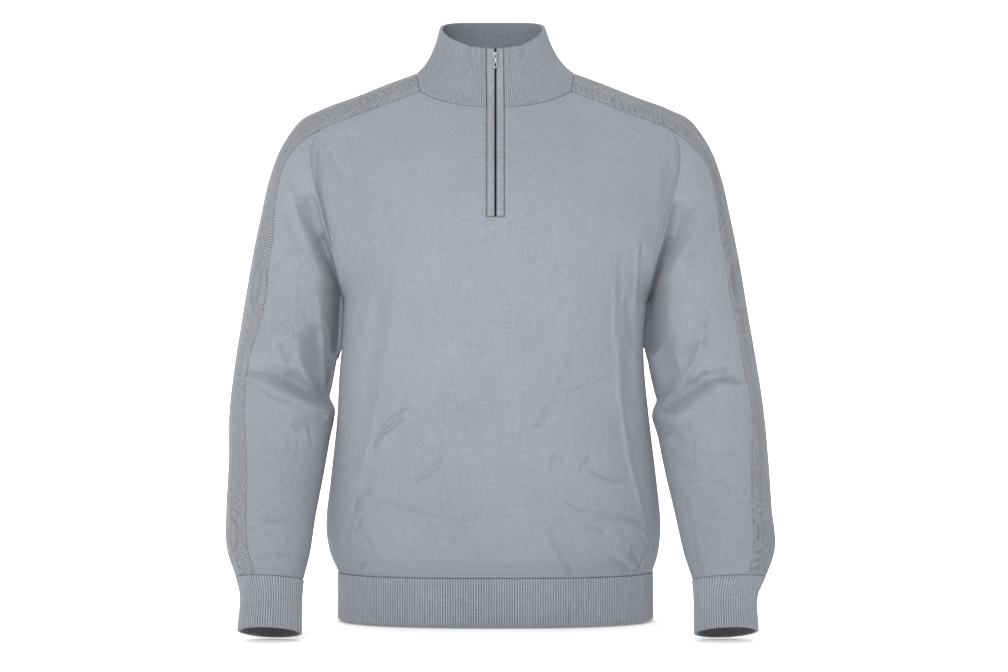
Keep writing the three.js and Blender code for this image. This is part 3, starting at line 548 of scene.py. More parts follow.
def free_sleeve_points(rings, ring, angle, side):
    """Points of a sleeve that hangs free: ring is one number a row, angle has one row for each ring."""
    row = {name: values[:, None] for name, values in row_at(rings, "ring", ring).items()}
    up_x = (row["outer_x"] - row["inner_x"]) / 2
    up_z = (row["outer_z"] - row["inner_z"]) / 2
    lean = np.radians(row["lean"])
    cos, sin = np.cos(angle), np.sin(angle)
    x = (row["outer_x"] + row["inner_x"]) / 2 + up_x * cos
    y = row["y"] - np.cos(lean) * row["half_depth"] * sin
    z = (row["outer_z"] + row["inner_z"]) / 2 + up_z * cos + np.sin(lean) * row["half_depth"] * sin
    from_top = np.minimum(angle, 2 * np.pi - angle)
    edge = strip_edges(rings, ring, side)[0][:, None]
    u = np.clip((from_top - edge) / (np.pi - edge), 0, 1)
    x = x + row["scoop"] * np.sin(np.pi * u**0.43) ** 3
    if rings is RINGS:
        at = ring[:, None]
        fade = smooth(at / 2) * smooth((LAST_RING - at) / 1.2)
        out = both_faces(SLEEVE_FOLDS, x, z, sin) * fade
        size = np.hypot(up_x, up_z)
        x = x + out * up_x / size * cos
        y = y - out * np.cos(lean) * sin
        z = z + out * (up_z / size * cos + np.sin(lean) * sin)
    if side > 0:
        left = row_at(LEFT_ARM, "ring", ring)
        x = x + mix(left["inner"][:, None], left["outer"][:, None], (1 + cos) / 2)
    if rings is RINGS:
        near_seams = smooth(at / 0.5) * smooth((LAST_RING - at) / 0.3)
        creases = SLEEVE_CREASES[arm_name(side)]
        y = y - creases_forward(creases, x, z, sin) * near_seams
    return points_from(x * side, y, z)


def sleeve_points(rings, ring, angle, side):
    """Points of a sleeve whose inner line lies against the body where it should."""
    made = free_sleeve_points(rings, ring, angle, side)
    if rings is RINGS:
        inner = free_sleeve_points(rings, ring, np.full((len(ring), 1), np.pi), side)[:, 0]
        share = ((1 - np.cos(angle)) / 2) ** 8
        made[..., 0] -= toward_body(side, inner)[:, None] * share
    return made


def under_angles(rings, ring, share, side):
    """Angles below the strip, from its front seam (0) under the arm (0.5) to its back seam (1)."""
    front, back = (a[:, None] for a in strip_edges(rings, ring, side))
    first = mix(front, np.pi, np.minimum(share * 2, 1))
    return first + (np.pi - back) * np.maximum(share * 2 - 1, 0)


def strip_angles(rings, ring, share, side):
    """Angles across the strip, from its front seam (0) over the outside line to its back seam (1)."""
    front, back = (a[:, None] for a in strip_edges(rings, ring, side))
    return np.where(share <= 0.5, front * (1 - 2 * share), 2 * np.pi - back * (2 * share - 1))


# %% Neckline and shoulder surface
def neckline(neck, s, side=1):
    """Points of one panel's neckline, from its middle (0) to the shoulder strip (1)."""
    s = np.asarray(s, float)
    x = 2 * s * (1 - s) * neck["pull_x"] + s**2 * neck["corner"][0]
    y = (1 - s**2) * neck["y"] + s**2 * neck["corner"][1]
    z = (1 - s**2) * neck["z"] + s**2 * neck["corner"][2]
    return points_from(x * side, y, z)


def neck_share_at(x, neck=NECK_FRONT):
    bend = 2 * neck["pull_x"] - neck["corner"][0]
    run = 2 * neck["pull_x"]
    return (run - math.sqrt(run * run - 4 * bend * x)) / (2 * bend)


NECK_AT_SLOT = neck_share_at(SLOT)
FIRST = np.array([0.0])
STRIP_FRONT_0, STRIP_BACK_0 = (float(a[0]) for a in strip_edges(RINGS, FIRST, 1))


def shoulder_points(across, along, side=1):
    """Points of the strip over the shoulder: across -1 to 1, front to back; along 0 to 1, neck to armhole."""
    across, along = np.broadcast_arrays(np.asarray(across, float), np.asarray(along, float))
    made = np.zeros(across.shape + (3,))
    for front in (True, False):
        here = across < 0 if front else across >= 0
        neck = NECK_FRONT if front else NECK_BACK
        last = STRIP_FRONT_0 if front else STRIP_BACK_0
        angle_0 = last if front else 2 * np.pi - last
        end = sleeve_points(RINGS, FIRST, np.array([[angle_0]]), 1)[0, 0]
        far = along[here]
        ridge = row_at(SHOULDER_RIDGE, "along", far)
        edge = mix(np.array(neck["corner"], float), end, far[:, None])
        whole = mix(math.radians(SADDLE_DROP_ANGLE), last, far)
        angle = np.abs(across[here]) * whole
        drop = (1 - np.cos(angle)) / (1 - np.cos(whole))
        reach = np.sin(angle) / np.sin(whole)
        ridge_y = far * RINGS["y"][0]
        x = mix(ridge["x"], edge[:, 0], drop)
        made[here] = points_from(
            x * side, mix(ridge_y, edge[:, 1], reach), mix(ridge["z"], edge[:, 2], drop)
        )
    return made


# %% Front and back surface
ZIP_STEPS_UP, ARMHOLE_STEPS = 3, 9
FRONT = {"sign": -1, "depth": "front", "neck": NECK_FRONT, "last": STRIP_FRONT_0}
BACK = {"sign": 1, "depth": "back", "neck": NECK_BACK, "last": 2 * np.pi - STRIP_BACK_0}


def section(t, depth, end_x, end_depth):
    """Half of a rounded section, from the middle (t 0) over the slot's edge to the end (t 1)."""
    power = 2 / SQUARENESS
    end_angle = math.acos(min(1, max(0, end_depth / depth) ** (1 / power)))
    half_width = end_x / math.sin(end_angle) ** power
    slot_angle = math.asin((SLOT / half_width) ** (1 / power))
    angle = mix(slot_angle, end_angle, np.clip((t - SLOT_SHARE) / (1 - SLOT_SHARE), 0, 1))
    slot_x = SLOT * t / SLOT_SHARE
    in_slot = t < SLOT_SHARE
    x = np.where(in_slot, slot_x, half_width * np.sin(angle) ** power)
    slot_deep = depth * np.maximum(0, 1 - (slot_x / half_width) ** SQUARENESS) ** (power / 2)
    deep = np.where(in_slot, slot_deep, depth * np.maximum(0, np.cos(angle)) ** power)
    return x, deep


def shoulder_line(panel, t):
    """A panel's top edge: the neckline, then the seam with the shoulder strip."""
    made = np.zeros((len(t), 3))
    slot = t <= SLOT_SHARE
    neck = (t > SLOT_SHARE) & (t <= NECK_SHARE)
    made[slot] = neckline(panel["neck"], NECK_AT_SLOT * t[slot] / SLOT_SHARE)
    share = (t[neck] - SLOT_SHARE) / (NECK_SHARE - SLOT_SHARE)
    made[neck] = neckline(panel["neck"], mix(NECK_AT_SLOT, 1, share))
    rest = t > NECK_SHARE
    along = (t[rest] - NECK_SHARE) / (1 - NECK_SHARE)
    made[rest] = shoulder_points(np.full(along.shape, float(panel["sign"])), along)
    return made


def body_folds_on(panel, t, x, z):
    return body_fold(-panel["sign"] * x, z) * smooth((1 - t) / 0.3)


def body_row(panel, t, level, side):
    """Points of half a panel at one level: rib (0), armhole's foot (1), shoulder (2)."""
    foot = RINGS["inner_z"][0]
    if level <= 1:
        z = mix(TORSO["z"][0], foot, level)
        row = row_at(TORSO, "z", z)
        x, deep = section(t, row[panel["depth"]], row[arm_name(side)], 0)
        out = body_folds_on(panel, t, x * side, z) * smooth(level * 8)
        return points_from(x * side, panel["sign"] * (deep + out), z)
    up = level - 1
    angle = mix(np.pi, panel["last"], up)
    end = sleeve_points(RINGS, FIRST, np.array([[angle]]), 1)[0, 0]
    middle = table("up z", [[0, foot], [ZIP_STEPS_UP / ARMHOLE_STEPS, ZIP_BOTTOM], [1, panel["neck"]["z"]]])
    z = float(row_at(middle, "up", up)["z"])
    depth = float(row_at(TORSO, "z", z)[panel["depth"]])
    end_depth = max(0, panel["sign"] * end[1])
    x, deep = section(t, depth, end[0], end_depth)
    height = mix(z, end[2], t * t)
    y = panel["sign"] * deep + (end[1] - panel["sign"] * end_depth) * t**4
    y = y + panel["sign"] * body_folds_on(panel, t, x * side, height) * smooth(t * 4) * (1 - up)
    made = mix(points_from(x, y, height), shoulder_line(panel, t), smooth((up - 0.35) / 0.65))
    made[t >= 1] = end
    made[:, 0] *= side
    return made


# %% Collar surface
def collar_points(base, up):
    """Points of the collar over base points, from the base (up 0) to the top edge (up 1)."""
    base_depth = np.where(base[:, 1] < 0, -NECK_FRONT["y"], NECK_BACK["y"])
    neck_half = SHOULDER_RIDGE["x"][0]
    round_base = np.arctan2(np.abs(base[:, 0]) / neck_half, -base[:, 1] / base_depth)
    slot = math.atan2(SLOT / neck_half, 1)
    angle = round_base + SLOT_SPREAD * np.minimum(round_base / slot, (np.pi - round_base) / (np.pi - slot))
    level = (COLLAR_TOP_Z["front"] + COLLAR_TOP_Z["back"]) / 2
    middle = (level + COLLAR_TOP_Z["side"]) / 2
    tilt = (COLLAR_TOP_Z["front"] - COLLAR_TOP_Z["back"]) / 2
    z = middle + tilt * np.cos(angle) + (level - middle) * np.cos(2 * angle)
    depth = np.where(np.cos(angle) > 0, COLLAR_TOP["front"], COLLAR_TOP["back"])
    width = np.where(base[:, 0] < 0, COLLAR_TOP["right"], COLLAR_TOP["left"])
    top = points_from(np.sign(base[:, 0]) * np.sin(angle) * width, -depth * np.cos(angle), z)
    bend = mix(top, base, COLLAR_FLARE["out"])
    bend[:, 2] = mix(base[:, 2], top[:, 2], COLLAR_FLARE["up"])
    up = np.asarray(up, float)[:, None, None]
    return (1 - up) ** 2 * base + 2 * up * (1 - up) * bend + up**2 * top


# %% [markdown]
# ## Walls
# Knit is a real sheet: each piece becomes a closed wall 2 mm thick. The outer side is sampled
# finely, and the inner side as finely as it shows. Where pieces are sewn, each edge draws back a
# little and rolls in, which leaves the thin line of a linked seam.


# %% Grid helpers
def spread(start, end, steps):
    return np.linspace(start, end, steps + 1)


def joined(*runs):
    """Runs of numbers, end to end, each sharing its first number with the last one of the run before."""
    return np.concatenate([runs[0], *[run[1:] for run in runs[1:]]])


def surface_normals(grid, closed=False, heart=(0, 0, 0)):
    """Unit normals of a grid of points, pointing away from the heart."""
    if closed:
        padded = np.concatenate([grid[:, -1:], grid, grid[:, :1]], axis=1)
        by_column = np.gradient(padded, axis=1)[:, 1:-1]
    else:
        by_column = np.gradient(grid, axis=1)
    normal = np.cross(by_column, np.gradient(grid, axis=0))
    size = np.linalg.norm(normal, axis=-1, keepdims=True)
    normal = normal / np.maximum(size, 1e-9)
    outward = np.sum(normal * (grid - np.array(heart, float)))
    return normal * (1 if outward > 0 else -1)


def lengths_along(grid):
    """Mean distance of each column from the first one, and of each row from the first row."""
    across = np.linalg.norm(np.diff(grid, axis=1), axis=-1).mean(axis=0)
    along = np.linalg.norm(np.diff(grid, axis=0), axis=-1).mean(axis=1)
    return np.concatenate([[0], np.cumsum(across)]), np.concatenate([[0], np.cumsum(along)])


def grid_area(grid):
    """Area of a grid's cells, in square metres."""
    a = grid[1:, 1:] - grid[:-1, :-1]
    b = grid[1:, :-1] - grid[:-1, 1:]
    return float(np.linalg.norm(np.cross(a, b), axis=-1).sum() / 2 * MM * MM)


def draw_back(grid, gap, sides):
    """Moves the named edges of a grid in by a gap: low and high rows, first and last columns."""
    grid = grid.copy()
    edges = {"low": (0, 1, 0), "high": (-1, -2, 0), "first": (0, 1, 1), "last": (-1, -2, 1)}
    for side in sides:
        at, inside, axis = edges[side]
        edge = grid[at] if axis == 0 else grid[:, at]
        near = grid[inside] if axis == 0 else grid[:, inside]
        step = near - edge
        step = step / np.maximum(np.linalg.norm(step, axis=-1, keepdims=True), 1e-9) * gap
        if axis == 0:
            grid[at] += step
        else:
            grid[:, at] += step
    return grid


# %% Wall builder
def wall_mesh(name, outer, inner, uv, every, closed=False, keep=None, values=None):
    """A closed wall from grids of outer and inner points. Only every so many inner points are used.
    keep says which inner cells exist, and values are numbers kept at each point."""
    er, ec = every
    rows, columns = outer.shape[:2]
    cells_r = (rows - 1) // er
    cells_c = (columns if closed else columns - 1) // ec
    keep = np.ones((cells_r, cells_c), bool) if keep is None else keep
    inner_columns = cells_c if closed else cells_c + 1
    first_inner = rows * columns
    used_r = np.arange(cells_r + 1) * er
    used_c = np.arange(inner_columns) * ec

    def out_at(r, c):
        return r * columns + np.asarray(c) % columns

    def in_at(r, c):
        return first_inner + r * inner_columns + np.asarray(c) % inner_columns

    fine = np.repeat(np.repeat(keep, er, axis=0), ec, axis=1)
    r, c = np.nonzero(fine)
    faces = [np.stack([out_at(r, c), out_at(r, c + 1), out_at(r + 1, c + 1), out_at(r + 1, c)], axis=1)]
    corners = [np.stack([uv[r, c], uv[r, c + 1], uv[r + 1, c + 1], uv[r + 1, c]], axis=1)]
    r, c = np.nonzero(keep)
    faces.append(np.stack([in_at(r, c + 1), in_at(r, c), in_at(r + 1, c), in_at(r + 1, c + 1)], axis=1))
    fr, fc = r * er, c * ec
    corners.append(np.stack([uv[fr, fc + ec], uv[fr, fc], uv[fr + er, fc], uv[fr + er, fc + ec]], axis=1))

    rim_faces, rim_corners = [], []

    def rim(run, run_uv, near, far, near_uv, far_uv):
        half = (len(run) - 1) // 2
        for k in range(len(run) - 1):
            tip, tip_uv = (near, near_uv) if k < half else (far, far_uv)
            rim_faces.append((run[k], run[k + 1], tip))
            rim_corners.append((run_uv[k], run_uv[k + 1], tip_uv))
        rim_faces.append((run[half], far, near))
        rim_corners.append((run_uv[half], far_uv, near_uv))

    def has(r, c):
        c = c % cells_c if closed else c
        return 0 <= r < cells_r and 0 <= c < cells_c and keep[r, c]

    padded = np.pad(keep, 1)
    if closed:
        padded[1:-1, 0], padded[1:-1, -1] = keep[:, -1], keep[:, 0]
    around = padded[:-2, 1:-1] & padded[2:, 1:-1] & padded[1:-1, :-2] & padded[1:-1, 2:]
    for r, c in zip(*np.nonzero(keep & ~around)):
        r0, c0 = r * er, c * ec
        low = [(r0, c0 + k) for k in range(ec + 1)]
        high = [(r0 + er, c0 + k) for k in range(ec + 1)]
        first = [(r0 + k, c0) for k in range(er + 1)]
        last = [(r0 + k, c0 + ec) for k in range(er + 1)]
        for missing, run, near, far in (
            (not has(r - 1, c), low[::-1], (r, c + 1), (r, c)),
            (not has(r + 1, c), high, (r + 1, c), (r + 1, c + 1)),
            (not has(r, c - 1), first, (r, c), (r + 1, c)),
            (not has(r, c + 1), last[::-1], (r + 1, c + 1), (r, c + 1)),
        ):
            if missing:
                rim(
                    [int(out_at(*p)) for p in run],
                    [uv[p] for p in run],
                    int(in_at(*near)),
                    int(in_at(*far)),
                    uv[near[0] * er, near[1] * ec],
                    uv[far[0] * er, far[1] * ec],
                )
    places = np.concatenate([outer.reshape(-1, 3), inner[np.ix_(used_r, used_c)].reshape(-1, 3)])
    quads = np.concatenate(faces)
    triangles = np.array(rim_faces, int).reshape(-1, 3)
    a, b, c3, d = (places[quads[:, k]] for k in range(4))
    volume = np.sum(a * np.cross(b, c3)) + np.sum(a * np.cross(c3, d))
    if len(triangles):
        p, q, s = (places[triangles[:, k]] for k in range(3))
        volume += np.sum(p * np.cross(q, s))
    quad_uv = np.concatenate(corners)
    rim_uv = np.array(rim_corners, float).reshape(-1, 3, 2)
    if volume < 0:
        quads, triangles = quads[:, ::-1], triangles[:, ::-1]
        quad_uv, rim_uv = quad_uv[:, ::-1], rim_uv[:, ::-1]
    used = np.unique(np.concatenate([quads.ravel(), triangles.ravel()]))
    renumber = np.zeros(len(places), int)
    renumber[used] = np.arange(len(used))
    mesh = bpy.data.meshes.new(name)
    all_faces = renumber[quads].tolist() + renumber[triangles].tolist()
    mesh.from_pydata((places[used] * MM).tolist(), [], all_faces)
    layer = mesh.uv_layers.new(name="UVMap")
    flat_uv = np.concatenate([quad_uv.reshape(-1, 2), rim_uv.reshape(-1, 2)]) * MM
    layer.data.foreach_set("uv", flat_uv.ravel())
    for key, grid in (values or {}).items():
        inner_grid = grid[np.ix_(used_r, used_c)]
        if key == "out":
            inner_grid = -inner_grid
        vector = grid.ndim == 3
        size = 3 if vector else 1
        data = np.concatenate([grid.reshape(-1, size), inner_grid.reshape(-1, size)])[used]
        attribute = mesh.attributes.new(key, "FLOAT_VECTOR" if vector else "FLOAT", "POINT")
        attribute.data.foreach_set("vector" if vector else "value", data.ravel().astype(np.float32))
    mesh.shade_smooth()
    made = bpy.data.objects.new(name, mesh)
    scene.collection.objects.link(made)
    return made


# %% [markdown]
# ### From a sheet of points to a knitted piece
# Every edge of a knitted piece rolls in a little, at a seam and at a free edge alike. The wall is
# full within the piece and thins to a rounded rim over the last 1.7 mm.


# %% Knitted piece
ROLL = 1.7  # width of a rolled edge
# Shares of the wall that are left at an edge: free or at a strip, at the rib, at a sleeve's end
FREE_RIM, RIB_RIM, SLEEVE_RIM, CUFF_RIM = 0.12, 0.95, 0.9, 0.7
made_pieces = {}


def edge_distances(grid, sides):
    """Distance of each point from the nearest of the named edges."""
    across, along = lengths_along(grid)
    away = np.full(grid.shape[:2], 99.0)
    if "low" in sides:
        away = np.minimum(away, along[:, None])
    if "high" in sides:
        away = np.minimum(away, along[-1] - along[:, None])
    if "first" in sides:
        away = np.minimum(away, across[None, :])
    if "last" in sides:
        away = np.minimum(away, across[-1] - across[None, :])
    return away


def knitted(
    name, grid, every, sides, heart, wall=KNIT, closed=False, keep=None, away=None, rib=None, rim=FREE_RIM
):
    """A piece of knit over a grid of points, with rolled edges on the named sides. rim is the share
    of the wall that is left at the very edge."""
    normal = surface_normals(grid, closed, heart)
    ring = np.concatenate([grid, grid[:, :1]], axis=1) if closed else grid
    across, along = lengths_along(ring)
    uv = np.stack(np.broadcast_arrays(across[None, :], along[:, None]), axis=-1)
    distance = edge_distances(grid, sides)
    if away is not None:
        distance = np.minimum(distance, away)
    full = rim + (1 - rim) * np.sqrt(1 - (1 - np.clip(distance / ROLL, 0, 1)) ** 2)
    base = draw_back(grid, SEAM / 2, sides)
    outer = base - normal * (wall / 2 * (1 - full))[..., None]
    inner = base - normal * (wall / 2 * (1 + full))[..., None]
    values = {"out": normal * (0.25 + 0.75 * full)[..., None], "seam": distance}
    if rib is not None:
        values["rib"] = np.broadcast_to(rib, grid.shape[:2]).copy()
    values["across"] = np.broadcast_to(across[: grid.shape[1]][None, :], grid.shape[:2]).copy()
    values["along"] = np.broadcast_to(along[:, None], grid.shape[:2]).copy()
    piece = wall_mesh(name, outer, inner, uv, every, closed, keep, values)
    made_pieces[name] = {"grid": grid, "normal": normal, "closed": closed}
    print(f"{name}: {len(piece.data.polygons)} faces, cut {grid_area(ring) * 1e4:.0f} cm2")
    return piece


# %% [markdown]
# ## Front and back
# A fully-fashioned panel is knitted to shape: it widens above the rib, narrows at the armhole and
# ends at the neckline and the shoulder strip. The front has a slot for the zip.

# %% Front and back panels
SLOT_COLUMNS = 4
CREASE_DEPTH = 1.15
BODY_HEART = (0, 0, -350)


def panel_grid(panel, columns, body_rows, armhole_rows):
    """A panel's points from the rib to the shoulder, and from the wearer's right edge to the left."""
    t = joined(spread(0, SLOT_SHARE, SLOT_COLUMNS), spread(SLOT_SHARE, 1, columns))
    levels = joined(spread(0, 1, body_rows), spread(1, 2, armhole_rows))
    rows = []
    for level in levels:
        right = body_row(panel, t[::-1], level, -1)
        left = body_row(panel, t, level, 1)
        rows.append(np.vstack([right, left[1:]]))
    grid = np.array(rows)
    from_edge = 1 - np.abs(joined(-t[::-1], t))
    fade = smooth(from_edge / 0.04)[None] * (smooth(levels * 60) * smooth((2 - levels) * 6))[:, None]
    share = 1 if panel is FRONT else BACK_FOLDS["share"]
    creases = creases_at(BODY_CREASES, -panel["sign"] * grid[..., 0], grid[..., 2])
    grid[..., 1] += panel["sign"] * creases * fade * share * CREASE_DEPTH
    return grid


ARMHOLE_ROWS, BODY_ROWS, SIDE_COLUMNS = 108, 176, 160
front_grid = panel_grid(FRONT, SIDE_COLUMNS, BODY_ROWS, ARMHOLE_ROWS)
back_grid = panel_grid(BACK, 80, 124, 80)
slot_row = BODY_ROWS + ARMHOLE_ROWS * ZIP_STEPS_UP // ARMHOLE_STEPS
every = (4, 4)
middle_cell = (SLOT_COLUMNS + SIDE_COLUMNS) // every[1]
cells = ((BODY_ROWS + ARMHOLE_ROWS) // every[0], 2 * middle_cell)
no_slot = np.ones(cells, bool)
no_slot[slot_row // every[0] :, middle_cell - 1 : middle_cell + 1] = False
beside = np.maximum(np.abs(front_grid[..., 0]) - SLOT, 0)
below = np.maximum(ZIP_BOTTOM - front_grid[..., 2], 0)
from_slot = np.hypot(beside, below)
ALL = ("low", "high", "first", "last")
front_rim, back_rim = (
    mix(RIB_RIM, FREE_RIM, smooth((grid[..., 2] + 620) / 40)) for grid in (front_grid, back_grid)
)
front = knitted(
    "front_panel", front_grid, every, ALL, BODY_HEART, keep=no_slot, away=from_slot, rim=front_rim
)
back = knitted("back_panel", back_grid, every, ALL, BODY_HEART, rim=back_rim)

# %% [markdown]
# ## Sleeves and shoulder strips
# Each sleeve is one plain panel, sewn to both edges of a long strip. The strip is knitted in a
# raised diagonal pattern and runs from the collar over the shoulder to the cuff.

# %% Sleeves and strips
SLEEVE_ROWS, SLEEVE_COLUMNS = 300, 136
STRIP_SHOULDER_ROWS, STRIP_SLEEVE_ROWS, STRIP_COLUMNS = 120, 500, 80
sleeves, strips = {}, {}
for name, side in (("left", 1), ("right", -1)):
    heart = (262 * side, 0, -330)
    rings = spread(0, LAST_RING, SLEEVE_ROWS)
    angles = under_angles(RINGS, rings, spread(0, 1, SLEEVE_COLUMNS)[None, :], side)
    grid = sleeve_points(RINGS, rings, angles, side)
    rim = mix(FREE_RIM, SLEEVE_RIM, smooth(rings / 1.5))[:, None]
    sleeves[name] = knitted(f"sleeve_knit_{name}", grid, (4, 4), ALL, heart, rim=rim)
    across = spread(-1, 1, STRIP_COLUMNS)[None, :]
    over = shoulder_points(across, spread(0, 1, STRIP_SHOULDER_ROWS)[:, None], side)
    rings = spread(0, LAST_RING, STRIP_SLEEVE_ROWS)
    down = sleeve_points(RINGS, rings, strip_angles(RINGS, rings, (across + 1) / 2, side), side)
    grid = np.concatenate([over, down[1:]])
    ring_there = np.concatenate([np.zeros(len(over)), rings[1:]])
    rim = mix(FREE_RIM, SLEEVE_RIM, smooth(ring_there / 1.5))[:, None]
    strips[name] = knitted(f"strip_knit_{name}", grid, (4, 4), ALL, heart, rim=rim)

# %% [markdown]
# ## Ribs
# Hem, cuffs and collar are knitted in one-by-one rib, which draws in. Each rib takes eight columns
# of points on the outside, so that its crown is round and the furrow beside it narrow.

# %% Hem, cuffs and collar
RIB_COLUMNS = 8
HEM_RIB, CUFF_RIB, COLLAR_RIB = 3.2, 3.05, 3.3  # width of one rib
CUFF_LENGTH, COLLAR_LENGTH = 66, 86
SAMPLES = 300  # points of the curves that the ribs are set out on
EDGE_ROWS = np.array([0, 0.25, 0.6, 1.1, 1.7])


def run_along(curve):
    """Length of a curve up to each of its points."""
    return np.concatenate([[0], np.cumsum(np.linalg.norm(np.diff(curve, axis=0), axis=1))])


def even_run(curve, pitch):
    """Points at equal steps along a curve, eight for each rib, and the rib at each point."""
    run = run_along(curve)
    ribs = max(1, round(run[-1] / pitch))
    at = np.linspace(0, run[-1], ribs * RIB_COLUMNS + 1)
    points = np.stack([np.interp(at, run, curve[:, k]) for k in range(3)], axis=1)
    return points, spread(0, ribs, ribs * RIB_COLUMNS)


def edged(start, end, steps):
    """Places from start to end with narrow rows at both edges, a multiple of four rows in all."""
    middle = np.linspace(start + EDGE_ROWS[-1], end - EDGE_ROWS[-1], steps + 1)
    return joined(start + EDGE_ROWS, middle, (end - EDGE_ROWS)[::-1])


hems = {}
hem_z = edged(RIB_BOTTOM, RIB_TOP, 8)
for name, panel in (("front", FRONT), ("back", BACK)):
    x, deep = section(spread(0, 1, 800), RIB_DEPTH[name], RIB_HALF_WIDTH, 0)
    half = points_from(x, panel["sign"] * deep, 0)
    line, rib = even_run(np.concatenate([half[::-1] * (-1, 1, 1), half[1:]]), HEM_RIB)
    grid = line[None] + points_from(0, 0, hem_z)[:, None]
    hems[name] = knitted(f"hem_rib_{name}_knit", grid, (4, 4), ALL, BODY_HEART, rib=rib[None], rim=SLEEVE_RIM)

MIDDLE_RING = np.array([15.0])  # of the cuff
cuffs = {}
for name, side in (("left", 1), ("right", -1)):
    rings = CUFF_RINGS["ring"][0] + 2 * edged(0, CUFF_LENGTH, 8) / CUFF_LENGTH
    turn = spread(0, 2 * np.pi, 4 * SAMPLES)
    around = sleeve_points(CUFF_RINGS, MIDDLE_RING, turn[None, :], side)[0]
    run = run_along(around)
    ribs = round(run[-1] / CUFF_RIB)
    at = np.interp(np.linspace(0, run[-1], ribs * RIB_COLUMNS + 1)[:-1], run, turn)
    grid = sleeve_points(CUFF_RINGS, rings, np.broadcast_to(at, (len(rings), len(at))), side)
    rib = np.arange(len(at)) / RIB_COLUMNS
    heart = (284 * side, -95, -665)
    cuffs[name] = knitted(
        f"cuff_knit_{name}", grid, (4, 4), ("low", "high"), heart, closed=True, rib=rib[None], rim=CUFF_RIM
    )

share = spread(0, 1, SAMPLES)
front_neck = neckline(NECK_FRONT, mix(NECK_AT_SLOT, 1, share))
over_strip = shoulder_points(2 * share - 1, 0 * share)
back_neck = neckline(NECK_BACK, 1 - share)
half = np.concatenate([front_neck, over_strip[1:], back_neck[1:]])
base, rib = even_run(np.concatenate([half, half[::-1][1:] * (-1, 1, 1)]), COLLAR_RIB)
collar_up = edged(0, COLLAR_LENGTH, 16) / COLLAR_LENGTH
collar_grid = collar_points(base, collar_up)
# The open front pulls a shallow dent into each side of the collar, near its top.
DENT = {"x": 32, "width": 4, "z": 18, "rise": 16, "back": 3.2, "down": 1.3}
at_dent = np.exp(-(((np.abs(collar_grid[..., 0]) - DENT["x"]) / DENT["width"]) ** 2))
at_dent = at_dent * (collar_grid[..., 1] < 0)
dent = at_dent * smooth((collar_grid[..., 2] - DENT["z"]) / DENT["rise"])
collar_grid[..., 1] += DENT["back"] * dent
collar_grid[..., 2] -= DENT["down"] * dent
collar = knitted("collar_knit", collar_grid, (2, 2), ALL, (0, 0, 20), rib=rib[None])

# %% [markdown]
# ### Raising the ribs and the diagonals
# A rib is a repeated shape, so a node tree raises it: each point moves out by a rounded wave of the
# rib it lies on. The strips' tree does the same with diagonals that turn back from column to column,
# as in a herringbone.


# %% Node helpers
def new_tree(name, inputs):
    """A geometry node tree with named inputs, each as (label, socket kind, value)."""
    tree = bpy.data.node_groups.new(name, "GeometryNodeTree")
    tree.interface.new_socket("Geometry", in_out="INPUT", socket_type="NodeSocketGeometry")
    for label, kind, value in inputs:
        socket = tree.interface.new_socket(label, in_out="INPUT", socket_type=kind)
        if value is not None:
            socket.default_value = value
    tree.interface.new_socket("Geometry", in_out="OUTPUT", socket_type="NodeSocketGeometry")
    return tree


def put(tree, kind, inputs=(), **settings):
    """A node with its settings and inputs, each a value or another node's output."""
    made = tree.nodes.new(kind)
    for key, value in settings.items():
        setattr(made, key, value)
    for key, value in dict(inputs).items():
        if isinstance(value, bpy.types.NodeSocket):
            tree.links.new(value, made.inputs[key])
        else:
            made.inputs[key].default_value = value
    return made


def calc(tree, operation, *values):
    """The result of a math node."""
    made = put(tree, "ShaderNodeMath", enumerate(values), operation=operation)
    return made.outputs[0]


def named(tree, name, kind="FLOAT"):
    made = put(tree, "GeometryNodeInputNamedAttribute", {"Name": name}, data_type=kind)
    return made.outputs["Attribute"]


def finish_tree(tree, geometry, entry):
    """Ends a tree: instances become real, and everything gets the material input."""
    real = put(tree, "GeometryNodeRealizeInstances", {"Geometry": geometry})
    finish = {"Geometry": real.outputs[0], "Material": entry.outputs["Material"]}
    painted = put(tree, "GeometryNodeSetMaterial", finish)
    put(tree, "NodeGroupOutput", {"Geometry": painted.outputs[0]})


def apply_tree(piece, tree, **inputs):
    """Runs a tree on a piece and keeps the result as a plain mesh."""
    modifier = piece.modifiers.new(tree.name, "NODES")
    modifier.node_group = tree
    for item in tree.interface.items_tree:
        if item.item_type == "SOCKET" and item.in_out == "INPUT" and item.name in inputs:
            modifier[item.identifier] = inputs[item.name]
    bpy.context.view_layer.update()
    graph = bpy.context.evaluated_depsgraph_get()
    mesh = bpy.data.meshes.new_from_object(piece.evaluated_get(graph), depsgraph=graph)
    piece.modifiers.remove(modifier)
    piece.data = mesh
    mesh.name = piece.name
    return piece


def raise_out(tree, entry, height):
    """Moves each point along its way out by a height."""
    scale = put(tree, "ShaderNodeVectorMath", operation="SCALE")
    tree.links.new(named(tree, "out", "FLOAT_VECTOR"), scale.inputs[0])
    tree.links.new(height, scale.inputs["Scale"])
    moved = {"Geometry": entry.outputs["Geometry"], "Offset": scale.outputs[0]}
    return put(tree, "GeometryNodeSetPosition", moved).outputs[0]


